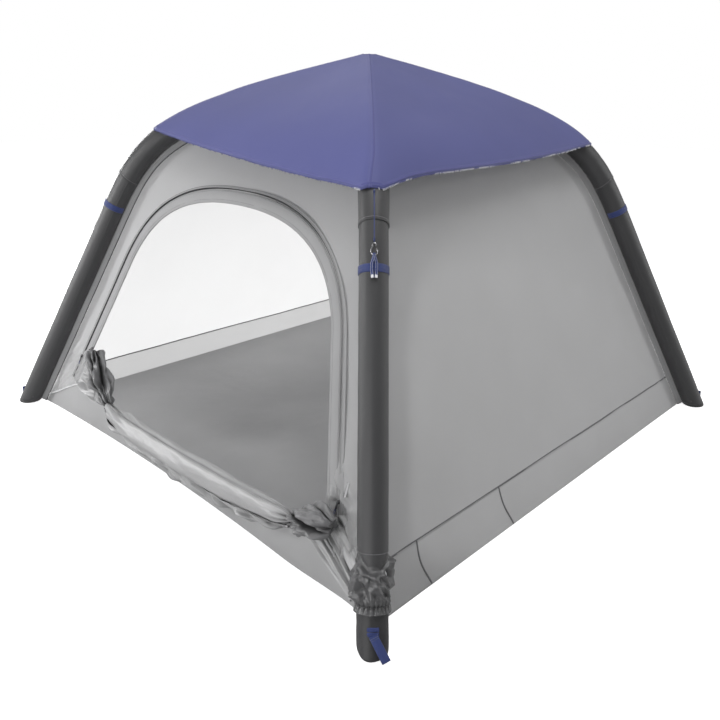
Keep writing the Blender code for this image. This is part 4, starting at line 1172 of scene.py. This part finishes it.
def make_tub():
    """The bathtub floor: its side all round, the dip below the doorway, and the floor inside.

    Its hem lifts off the ground at the front right corner.
    """
    low = float(half_width(0.0))
    share = np.linspace(-1, 1, 130)
    columns = []
    for turns in range(4):
        x_foot = share * low
        if turns == 0:
            end = float(half_width(CORNER_SEAM)) - 0.004
            top_x = share * end
            top_z = SEAM_HEIGHT + (CORNER_SEAM - SEAM_HEIGHT) * dip_level(top_x, end)
            hem_y = front_hem(x_foot, low)
        else:
            top_x = share * (float(half_width(SEAM_HEIGHT)) - 0.001)
            top_z = np.full_like(share, SEAM_HEIGHT)
            hem_y = np.full_like(share, -low)
        lifted = {0: smooth(0.60, 0.97, share), 1: 1 - smooth(-1.0, -0.95, share)}.get(turns, 0 * share)
        foot = np.stack([x_foot, hem_y, 0.0006 + 0.026 * lifted], 1)
        top = np.stack([top_x, -half_width(top_z), top_z], 1)
        v = np.linspace(0, 1, 26)[:, None, None]
        side = foot + (top - foot) * v
        place = side + np.array([0, 0, 3.1 * turns])
        bulge = 0.006 * np.sin(math.pi * v[..., 0]) * (1 - share**4)
        puckers = 0.0016 * noise(place / np.array([0.07, 0.2, 0.2]), 71) * np.sin(math.pi * v[..., 0])
        if turns == 0:
            puckers = puckers * 2.2
        side = side + np.array([0, -1, 0]) * (bulge + puckers)[..., None]
        columns.append(turned(side[:, :-1], turns))
    ring = np.concatenate(columns, axis=1)
    shape = Shape().grid(ring, wrap_cols=True)
    hem = ring[0]
    rings = [hem]
    for scale in np.linspace(0.985, 0.02, 46):
        inner = hem * scale
        inner[:, 2] = 0.0030 + 0.0016 * noise(inner / 0.13, 73) + 0.0008 * creases(inner / 0.06, 74)
        rings.append(inner)
    shape.grid(np.array(rings), wrap_cols=True, slot=1)
    last = rings[-1]
    shape.grid(np.stack([last, last * 0.02]), wrap_cols=True, slot=1)
    obj = shape.piece("tub_floor", "floor_fabric", "tub", "floor", cad="groundsheet", weld=True)
    make_tub_trim(low)


def make_tub_trim(low):
    """The curved patch seams on the tub's sides and the pale piping along the doorway's dip."""
    seams = Shape()
    t = np.linspace(0, 1, 60)
    for start, end in ((-0.80, -0.782), (-0.374, -0.342)):
        x = start + (end - start) * t - 0.020 * np.sin(math.pi * t) ** 1.2 * (1 - t * 0.4)
        z = SEAM_HEIGHT * (1 - t) + 0.003 * t
        swell = 0.0062 * np.sin(math.pi * z / SEAM_HEIGHT) * (1 - (x / low) ** 4)
        path, out = on_wall(1, x, z, 0.0008 + swell)
        seam_lines(seams, path, out, 0.0055)
    seams.piece("tub_patch_seams", "trim_fabric", "wall_shade", "thread_grey")
    piping = Shape()
    end = float(half_width(CORNER_SEAM)) - 0.004
    for way in (-1, 1):
        x = way * np.linspace(0.74, end, 60)
        drop = dip_level(x, end)
        z = SEAM_HEIGHT + (CORNER_SEAM - SEAM_HEIGHT) * (0.3 * smooth(0, 1, drop) + 0.7 * drop)
        path, out = on_wall(0, x, z, 0.004)
        tube(piping, path, 0.0022, sides=8)
        dashes(piping, path - [0, 0, 0.006], out, *LONG_STITCH, slot=1)
    piping.piece("sill_piping", "trim_fabric", "piping", "thread_grey")


def make_net():
    """The mesh roof under the fly, from the walls' top edge to the peak."""
    heights = np.linspace(WALL_HEM - 0.002, CORNER[-1, 1] - 0.004, 44)
    share = np.linspace(-1, 1, 41)[:-1]
    rings = []
    for z in heights:
        reach = half_width(z)
        side = np.stack([share * reach, np.full_like(share, -reach), np.full_like(share, z)], 1)
        side[:, 2] -= 0.010 * (1 - share**2) * min(1.0, half_width(z) / 0.3)
        rings.append(np.concatenate([turned(side, k) for k in range(4)]))
    shape = Shape().grid(np.array(rings), wrap_cols=True)
    last = rings[-1]
    peak = last.mean(axis=0)
    shape.grid(np.stack([last, peak + (last - peak) * 0.03]), wrap_cols=True)
    obj = shape.piece("roof_mesh_panel", "net_fabric", "net", cad="roof_net")


# ---- Doorway ----


def tape_crown(distance):
    return 0.0012 + 0.003 * math.sin(math.pi * distance / SURROUND_WIDTH) ** 0.7


def make_surround():
    """The folded tape round the doorway: a rolled inner edge, a slightly full band and its stitching."""
    across = np.linspace(0.0, SURROUND_WIDTH, 16)
    place = np.concatenate([ARCH / 0.05, ARCH[:, :1] * 0], axis=1)
    pucker = 0.0009 * noise(place, 81) + 0.0006 * creases(place * 2.3, 82)
    rows = []
    for d in across:
        swell = pucker * math.sin(math.pi * d / SURROUND_WIDTH)
        rows.append(arch_offset(np.full(len(ARCH), d), tape_crown(d) + swell)[0])
    shape = Shape().grid(np.array(rows))
    inner, _ = arch_offset(np.full(len(ARCH), 0.0005), 0.0004)
    tube(shape, inner, 0.0024, sides=8)
    for d in (0.0085, 0.0375):
        line, up = arch_offset(np.full(len(ARCH), d), tape_crown(d))
        dashes(shape, line, up, *SHORT_STITCH, slot=1)
    looks = ("trim_fabric", "trim", "thread_grey")
    shape.piece("door_edge_tape", *looks, cad="door_surround", thickness=CLOTH)


def make_zip():
    """The zip: its tape, two rows of coil teeth, and the storm flap that half covers it."""
    shape = Shape()
    line, out = arch_offset(np.full(len(ARCH), ZIP_LINE), 0.0006)
    welt(shape, line, out, 0.007, 0.0009, slot=1)
    for way in (-1, 1):
        teeth, up = arch_offset(np.full(len(ARCH), ZIP_LINE + way * 0.0012), 0.0012)
        dashes(shape, teeth, up, 0.0022, 0.0013, width=0.0026, height=0.0012)
    shape.piece("door_zip_coil", "zip_plastic", "zip", "dark", cad="door_zip")
    flap = Shape()
    steps = np.linspace(0, 1, 8)
    reach = 0.0500 + 0.0016 * noise(np.concatenate([ARCH / 0.11, ARCH[:, :1] * 0], axis=1), 84)
    rows = []
    for k in steps:
        distance = reach + (0.0145 - 0.006 * smooth(0.9, 1.6, ARCH_SHARE)) * k
        lift = 0.0030 * (1 - k) ** 1.6 + 0.0010
        rows.append(arch_offset(distance, lift)[0])
    flap.grid(np.array(rows))
    edge, up = arch_offset(reach + 0.0004, 0.0040)
    tube(flap, edge, 0.0009, sides=6)
    seam, up = arch_offset(reach + 0.0125 - 0.006 * smooth(0.9, 1.6, ARCH_SHARE), 0.0013)
    dashes(flap, seam, up, *SHORT_STITCH, slot=1)
    flap.piece("zip_storm_flap", "wall_fabric", "wall", "thread_grey", thickness=CLOTH)


def rounded_block(name, node_name, material, body, slot, width):
    """A copy of a small CAD block with softened edges."""
    low, high = (Vector(corner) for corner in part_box(node_name))
    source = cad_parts[node_name]
    mesh = source.data.copy()
    obj = bpy.data.objects.new(name, mesh)
    bpy.context.scene.collection.objects.link(obj)
    work = bmesh.new()
    work.from_mesh(mesh)
    bmesh.ops.remove_doubles(work, verts=work.verts, dist=1e-6)
    bmesh.ops.dissolve_limit(work, angle_limit=0.02, verts=work.verts, edges=work.edges)
    work.to_mesh(mesh)
    work.free()
    mesh.materials.clear()
    mesh.materials.append(FINISH[material])
    mesh.shade_smooth()
    bevel = obj.modifiers.new("softened", "BEVEL")
    bevel.width = min(width, (high - low).length / 8)
    bevel.segments = 4
    bevel.limit_method = "ANGLE"
    place_piece(obj, body, slot, node_name)
    return obj


def make_zip_hardware():
    for side in ("left", "right"):
        slider, pull = "zip_slider_" + side, "zip_pull_" + side
        rounded_block("slider_" + side, slider, "zip", slider, "zip_plastic", 0.0012)
        rounded_block("pull_tab_" + side, pull, "zip", pull, "zip_plastic", 0.0006)
        low, high = (np.array(corner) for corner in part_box(pull))
        middle = (low + high) / 2
        foot = np.array([middle[0], low[1], low[2]])
        way = unit(np.array([0, high[1] - low[1], high[2] - low[2]]))
        shape = Shape()
        loop = np.linspace(0, 2 * math.pi, 40, endpoint=False)
        path = foot - way * 0.002 + np.outer(np.cos(loop), [0.0024, 0, 0])
        path = path + np.outer(np.sin(loop), way) * 0.007
        path = path - [0, 0.0008, 0]
        tube(shape, path, 0.0009, sides=8, closed=True)
        shape.piece("pull_cord_" + side, "cord", "cord", body=pull)


def make_label():
    """A blank folded tape label sewn in beside the zip."""
    low, high = (np.array(corner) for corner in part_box("care_label"))
    z = np.linspace(low[2], high[2], 24)
    x = np.linspace(low[0], high[0], 12)
    zz, xx = np.meshgrid(z, x, indexing="ij")
    ripple = 0.0007 * noise(np.stack([xx, zz, zz * 0], -1) / 0.012, 91)
    lift = 0.0022 + 0.003 * smooth(low[0], high[0], xx) ** 2 + ripple
    skin, _ = on_wall(0, xx, zz, lift)
    shape = Shape().grid(skin)
    line, out = on_wall(0, np.full(20, low[0] + 0.001), np.linspace(low[2], high[2], 20), 0.0026)
    dashes(shape, line, out, 0.003, 0.002, slot=1)
    looks = ("label_fabric", "label", "thread_grey")
    shape.piece("blank_label", *looks, cad="care_label", thickness=0.0005)


# ---- Fly ----


def fly_rows(share, stand_off):
    """Courses round the roof: an arc over each leg, and from leg to leg a slight sag.

    The right side lifts near its front corner.
    """
    arc_steps, side_steps = 9, 56
    level = (np.array([1.0, 0, 0]), np.array([0, 1.0, 0]))
    arcs = []
    for i, leg in enumerate(LEGS):
        run = run_at(FLY_CORNER[leg]) + (run_at_radius(0.012) - run_at(FLY_CORNER[leg])) * share
        centre, along, normal, _ = leg_axes(leg, run)
        ends = []
        for flat in (level[i % 2], level[(i + 1) % 2]):
            found = unit(np.cross(np.broadcast_to(flat, along.shape), along))
            found *= np.sign(np.sum(found * normal, axis=1, keepdims=True))
            ends.append(found)
        mix = np.linspace(0, 1, arc_steps)[None, :, None]
        outward = unit(ends[0][:, None] * (1 - mix) + ends[1][:, None] * mix)
        arcs.append(centre[:, None] + outward * (SLEEVE_RADIUS + stand_off))
    columns = []
    corners = []
    count = 0
    for i in range(4):
        columns.append(arcs[i])
        corners.append(count + arc_steps // 2)
        start, end = arcs[i][:, -1:], arcs[(i + 1) % 4][:, :1]
        mix = np.linspace(0, 1, side_steps + 2)[1:-1][None, :, None]
        side = start * (1 - mix) + end * mix
        span = np.linalg.norm(end - start, axis=2, keepdims=True)
        side[..., 2] -= (0.012 * span * 4 * mix * (1 - mix))[..., 0]
        if i == 0:
            rise = mix[..., 0] / 0.2
            side[..., 2] += 0.024 * rise * np.exp(1 - rise) * (1 - smooth(0.0, 0.35, share))[:, None]
        columns.append(side)
        count += arc_steps + side_steps
    return np.concatenate(columns, axis=1), corners


def make_fly():
    share = np.linspace(0, 1, 90)
    rows, corners = fly_rows(share, FLY_CLEARANCE)
    fade = smooth(0.0, 0.05, share)[:, None]
    ripple = 0.0022 * noise(rows / 0.22, 95) * fade + 0.0007 * noise(rows / 0.06, 96)
    flutter = 0.0025 * noise(rows / 0.05, 97) * (1 - smooth(0.0, 0.09, share))[:, None]
    rows[..., 2] += ripple + flutter * 0.6
    beside = (rows[..., 0] + rows[..., 1]) / math.sqrt(2)
    tip = np.exp(-((beside / 0.05) ** 2)) * (1 - smooth(0.0, 0.04, beside)) * (rows[..., 0] > 0.3)
    tip = tip * (1 - smooth(0.0, 0.15, share))[:, None]
    rows -= tip[..., None] * np.array([0.008, 0.008, -0.001])
    shape = Shape().grid(rows, wrap_cols=True)
    peak = rows[-1].mean(axis=0) + [0, 0, 0.002]
    shape.grid(np.stack([rows[-1], peak + (rows[-1] - peak) * 0.05]), wrap_cols=True)
    looks = ("fly_fabric", "fly")
    obj = shape.piece("roof_fly_cloth", *looks, cad="roof_fly", body="fly", thickness=CLOTH)
    trim = Shape()
    for corner in corners:
        path = rows[:, corner]
        out = path - leg_middle(path)
        welt(trim, path, out, 0.008, 0.0013)
        dashes(trim, path, out, *LONG_STITCH, lift=0.0012, slot=2)
    hem = np.concatenate([rows[1], rows[1][:1]])
    out = hem * [1, 1, 0] + [0, 0, 0.5]
    welt(trim, hem, out, 0.010, 0.0013)
    edge = np.concatenate([rows[0], rows[0][:1]]) - [0, 0, 0.0008]
    tube(trim, edge, 0.0015, sides=8)
    overlock(trim, edge)
    looks = ("fly_fabric", "fly_seam", "thread_white", "thread_navy")
    trim.piece("fly_hem_and_ridges", *looks, body="fly")


def overlock(shape, edge):
    """Loose overlock thread that shows in patches along the hem: pale on two sides, navy on all."""
    at = resample(edge, step=0.0066)
    outward = unit(at * [1, 1, 0])
    ahead = unit(np.gradient(at, axis=0))
    draw = np.random.default_rng(17)
    patches = noise(at / 0.055, 19)
    for k in range(len(at)):
        pale_side = at[k, 0] > 0.62 or at[k, 1] > 0.62
        lean, reach = draw.uniform(-0.5, 0.5), draw.uniform(0.0030, 0.0070)
        pale = pale_side and patches[k] > -0.25 and draw.uniform() < 0.75
        if not pale and draw.uniform() < 0.35:
            continue
        start = at[k] + outward[k] * 0.0012 + [0, 0, 0.0014]
        end = start - np.array([0, 0, reach]) + ahead[k] * lean * 0.005 + outward[k] * 0.0006
        middle = (start + end) / 2 + outward[k] * 0.0009
        tube(shape, [start, middle, end], 0.00115 if pale else 0.0009, sides=5, slot=1 if pale else 2)


def leg_middle(path):
    """The legs' centre line below points on a ridge."""
    away = unit(path * [1, 1, 0])
    radius = np.linalg.norm(path[:, :2], axis=1)
    return away * radius[:, None] + np.array([0, 0, 1]) * (path[:, 2] - 0.2)[:, None]


# ---- The rolled door ----

# x, y, z and radius along the roll, from tie to tie
ROLL = (
    (-0.442, -1.024, 0.166, 0.0125),
    (-0.425, -1.029, 0.161, 0.024),
    (-0.390, -1.036, 0.156, 0.034),
    (-0.310, -1.043, 0.153, 0.039),
    (-0.150, -1.046, 0.151, 0.041),
    (0.150, -1.047, 0.155, 0.042),
    (0.420, -1.045, 0.166, 0.040),
    (0.560, -1.041, 0.176, 0.037),
    (0.640, -1.037, 0.181, 0.034),
    (0.685, -1.034, 0.187, 0.025),
    (0.708, -1.033, 0.190, 0.0125),
)
# The bundle beyond each tie, from the tie outward
BUNDLES = {
    "left": (
        (-0.442, -1.024, 0.166, 0.0125),
        (-0.458, -1.022, 0.178, 0.028),
        (-0.490, -1.016, 0.205, 0.042),
        (-0.530, -1.006, 0.238, 0.049),
        (-0.572, -0.994, 0.270, 0.048),
        (-0.612, -0.978, 0.300, 0.041),
        (-0.640, -0.964, 0.320, 0.032),
    ),
    "right": (
        (0.708, -1.033, 0.190, 0.0125),
        (0.724, -1.035, 0.197, 0.030),
        (0.752, -1.038, 0.210, 0.046),
        (0.790, -1.036, 0.223, 0.054),
        (0.824, -1.030, 0.230, 0.051),
        (0.850, -1.024, 0.231, 0.038),
        (0.864, -1.020, 0.230, 0.022),
    ),
}


def smooth_line(knots, steps):
    """Points and radius along a line through the knots, rounded between them."""
    knots = np.array(knots)
    run = np.concatenate([[0], np.cumsum(np.linalg.norm(np.diff(knots[:, :3], axis=0), axis=1))])
    at = np.linspace(0, run[-1], steps)
    made = np.stack([np.interp(at, run, knots[:, k]) for k in range(4)], 1)
    for _ in range(steps // 16):
        made[1:-1] = (made[:-2] + 2 * made[1:-1] + made[2:]) / 4
    return made[:, :3], made[:, 3], at


def line_axes(path):
    heading = unit(np.gradient(path, axis=0))
    level = unit(np.cross(heading, [0, 0, 1.0]))
    return heading, level, np.cross(level, heading)


def round_line(path, angle, reach):
    """Points round a line. Angle 0 faces the front and a quarter turn faces up."""
    _, level, upward = line_axes(path)
    return (
        path[:, None]
        + level[:, None] * (np.cos(angle) * reach)[..., None]
        + upward[:, None] * (np.sin(angle) * reach)[..., None]
    )


def make_roll():
    """The door panel rolled into a loose spiral, pinched into pleats at each tie."""
    path, radius, run = smooth_line(ROLL, 300)
    turns = 3.2
    turn = np.linspace(0, turns * 2 * math.pi, 300)[None, :]
    angle = turn + 1.15 - turns * 2 * math.pi
    base = radius[:, None] * (1 + (turn / (2 * math.pi) - turns) * 0.115)
    to_tie = np.minimum(run, run[-1] - run)[:, None]
    near = np.exp(-to_tie / 0.055)
    lean = angle + 0 * base
    pleats = 1 - 0.50 * near * (1 - lobes(lean, 9, 101, sway=1.5))
    x = path[:, 0][:, None] + 0 * lean
    place = np.stack([x / 0.26, 1.1 * np.cos(lean), 1.1 * np.sin(lean)], -1)
    sag = 0.0046 * noise(place * [0.8, 1, 1], 102)
    left_end = 1 - smooth(0.05, 0.34, run)[:, None]
    slack = 0.0080 * crumple(place * [1.6, 0.8, 0.8], 103, folds=3, warp=0.3)
    slack = slack * (0.22 + 0.9 * left_end + 0.6 * np.exp(-to_tie / 0.06))
    turned_to = (lean - 0.95 + math.pi) % (2 * math.pi) - math.pi
    fine = 0.0032 * np.exp(-np.abs(turned_to) / 0.30)
    fine = fine + 0.0004 * crumple(place * [3.0, 2.0, 2.0], 104, folds=3)
    ends = smooth(0.0125, 0.028, radius)[:, None]
    reach = np.maximum(base * pleats + (sag + slack + fine) * ends, 0.003)
    skin = round_line(path, lean, reach)
    shape = Shape().grid(skin)
    tube(shape, skin[:, -1], 0.0013, sides=6)
    looks = ("wall_fabric", "rolled")
    return shape.piece("rolled_door_cloth", *looks, cad="rolled_door", thickness=CLOTH)


def make_bundle(side):
    """The loose end of the roll beyond its tie: deep folds that open into a hollow mouth."""
    path, radius, run = smooth_line(BUNDLES[side], 170)
    angle = np.linspace(0, 2 * math.pi, 300, endpoint=False)[None, :]
    seed = 110 if side == "left" else 130
    count, held = (4, 0.42) if side == "left" else (5, 0.40)
    depth = (0.45 * np.exp(-run / 0.08) + held)[:, None]
    twist = (0.7 if side == "left" else 1.5) * (run / run[-1])[:, None]
    crest = lobes(angle + twist, count, seed, sway=1.5)
    small = lobes(angle - twist * 0.5, 11, seed + 1, sway=1.8)
    pinch = np.exp(-run / 0.035)[:, None]
    shaped = radius[:, None] * (1 - depth * (1 - crest) - (0.02 + 0.34 * pinch) * (1 - small))
    around_place = np.stack(
        [run[:, None] / 0.10 + 0 * angle, np.cos(angle) + 0 * shaped, np.sin(angle) + 0 * shaped], -1
    )
    open_out = smooth(0.0, 0.05, run)[:, None]
    shaped = shaped + (0.0160 * crumple(around_place * 0.95, seed + 2, folds=4, warp=0.3)) * open_out
    shaped = shaped + 0.0008 * crumple(around_place * 2.6, seed + 3, folds=3) * open_out
    shaped = np.maximum(shaped, 0.006)
    outer = round_line(path, angle + 0 * shaped, shaped)
    inward = np.linspace(0, 1, 26)[1:]
    back = (len(path) - 1 - inward * 48).astype(int)
    scale = (0.97 - 0.45 * inward)[:, None]
    inner = round_line(path[back], angle + 0 * shaped[back], shaped[-1] * 0 + shaped[back] * scale * 0.9)
    blend = smooth(0, 0.25, inward)[:, None, None]
    rim = outer[-1] + (inner - outer[-1]) * blend
    skin = np.concatenate([outer, rim])
    shape = Shape().grid(skin, wrap_cols=True)
    return shape.piece("door_bundle_" + side, "wall_fabric", "bundle", thickness=CLOTH)


def tub_front(x, z):
    """How far forward the tub's front is at a height."""
    hem_y = front_hem(x, float(half_width(0.0)))
    return hem_y + (-float(half_width(SEAM_HEIGHT)) - hem_y) * z / SEAM_HEIGHT


def make_flap():
    """The door's lower edge, which hangs in folds below the roll towards the sill."""
    x = np.linspace(-0.440, 0.712, 420)[None, :]
    v = np.linspace(0, 1, 60)[:, None]
    top_z = np.interp(x, [-0.44, -0.38, -0.2, 0.4, 0.64, 0.712], [0.168, 0.135, 0.122, 0.130, 0.158, 0.178])
    low_x = [-0.44, -0.36, -0.22, -0.05, 0.12, 0.30, 0.48, 0.60, 0.68, 0.712]
    low_z = np.interp(x, low_x, [0.150, 0.086, 0.052, 0.046, 0.056, 0.064, 0.084, 0.112, 0.146, 0.168])
    low_z = low_z + 0.006 * noise(np.stack([x / 0.09, 0 * x, 0 * x], -1), 120)
    z = top_z + (low_z - top_z) * v
    flat_x = x + 0 * v
    place = np.stack([flat_x / 0.24, z / 0.075, 0 * z], -1)
    folds = 0.0190 * crumple(place, 121, folds=4) + 0.0007 * crumple(place * [3, 1.7, 1], 122, folds=3)
    tie = np.array([0.708, 0.184])
    from_tie = np.hypot(flat_x - tie[0], z - tie[1])
    spoke = np.arctan2(z - tie[1], tie[0] - flat_x)
    star = 0.0075 * (lobes(spoke * 2.2, 13, 123) - 0.6) * np.exp(-from_tie / 0.09)
    star = star * smooth(0.0, 0.02, from_tie)
    front = -1.047 - 0.026 * np.interp(x, [-0.44, -0.36, 0.6, 0.712], [0.2, 1, 1, 0.2])
    low_y = tub_front(flat_x, z) - 0.040
    y = front + (low_y - front) * v**1.3 - (folds + star) * (0.25 + 0.75 * smooth(0, 0.4, v))
    skin = np.stack([flat_x, y, z], -1)
    shape = Shape().grid(skin)
    tube(shape, skin[-1], 0.0013, sides=6)
    return shape.piece("door_sill_flap", "wall_fabric", "rolled", thickness=CLOTH)


def make_corner_cloth(side):
    """The door's slack corner: from the doorway's foot to the bundle, and on the right down to the cuff."""
    u = np.linspace(0, 1, 150)[None, :]
    v = np.linspace(0, 1, 110)[:, None]
    if side == "left":
        first = np.array([[-0.800, 0.150], [-0.742, 0.315]])
        last = np.array([[-0.450, 0.140], [-0.610, 0.300]])
        count, dip, stand = (1.6, 2.6), 0.020, 0.018
    else:
        first = np.array([[1.000, 0.118], [0.850, 0.235]])
        last = np.array([[0.962, 0.036], [0.716, 0.140]])
        count, dip, stand = (3.4, 0.8), 0.0, 0.006
    edge_a = first[0] + (first[1] - first[0]) * v[..., None]
    edge_b = last[0] + (last[1] - last[0]) * v[..., None]
    flat = edge_a + (edge_b - edge_a) * u[..., None]
    x, z = flat[..., 0], flat[..., 1] - dip * np.sin(math.pi * u) * (1 - v)
    place = np.stack([u * count[0] + 0 * v, v * count[1] + 0 * u, 0 * u * v + len(side)], -1)
    folds = (0.0230 if side == "left" else 0.0150) * crumple(place, 126, folds=4)
    folds = folds + 0.0008 * crumple(place * 3, 128, folds=3)
    fade = smooth(0, 0.12, u) * (1 - smooth(0.9, 1.0, u) * (side == "right"))
    skin, _ = on_wall(0, x, z, 0.003 + fade * (0.018 + folds) + stand * u)
    shape = Shape().grid(skin)
    return shape.piece("door_corner_" + side, "wall_fabric", "corner", thickness=CLOTH)


def make_rolled_door():
    roll = make_roll()
    loose = [make_bundle(side) for side in BUNDLES]
    loose += [make_corner_cloth(side) for side in BUNDLES]
    loose.append(make_flap())
    for side in BUNDLES:
        make_door_tie(side)


def make_door_tie(side):
    """An elastic cord with a small toggle round the roll."""
    path, radius, _ = smooth_line(BUNDLES[side], 170)
    heading, level, upward = (axis[0] for axis in line_axes(path))
    middle, reach = path[0], radius[0] + 0.0012
    angle = np.linspace(0, 4 * math.pi, 120)
    coil = middle + reach * (np.cos(angle)[:, None] * level + np.sin(angle)[:, None] * upward)
    coil = coil + heading * (angle / (4 * math.pi) * 0.005 - 0.0025)[:, None]
    shape = Shape()
    tube(shape, coil, 0.0014, sides=8)
    toggle = middle + level * (reach + 0.0022) - upward * 0.003
    span = np.linspace(-1, 1, 15)
    bar = toggle + np.outer(span * 0.007, upward)
    tube(shape, bar, 0.0022 * np.sqrt(np.clip(1 - span**4, 0.05, 1)), sides=10, slot=1)
    shape.piece("door_tie_cord_" + side, "cord", "dark", "plastic", cad="door_tie_" + side)


# ---- CAD parts that keep their own shape ----


def finish_kept_nodes():
    """The bladders and the valve keep the frame's shapes, the valve with softened edges."""
    for name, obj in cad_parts.items():
        if name.startswith("air_"):
            material = "film"
        elif name.startswith("valve_") and name != "valve_cuff":
            material = "plastic"
            bevel = obj.modifiers.new("softened", "BEVEL")
            bevel.width = 0.0004
            bevel.segments = 3
            bevel.limit_method = "ANGLE"
        else:
            continue
        obj.data.materials.clear()
        obj.data.materials.append(FINISH[material])


def main():
    make_camera()
    make_materials()
    for leg in LEGS:
        make_fly_cord(leg)
    for leg in LEGS:
        for make in (make_sleeve, make_flange, make_collar, make_band, make_hook, make_peg_loop):
            make(leg)
    make_hub()
    make_feet()
    make_cuff()
    for name, turns in WALLS.items():
        make_plain_wall(name, turns)
    make_door_wall()
    make_tub()
    make_net()
    make_surround()
    make_zip()
    make_zip_hardware()
    make_label()
    make_fly()
    make_rolled_door()
    finish_kept_nodes()
    make_studio()
    bpy.context.view_layer.update()


main()
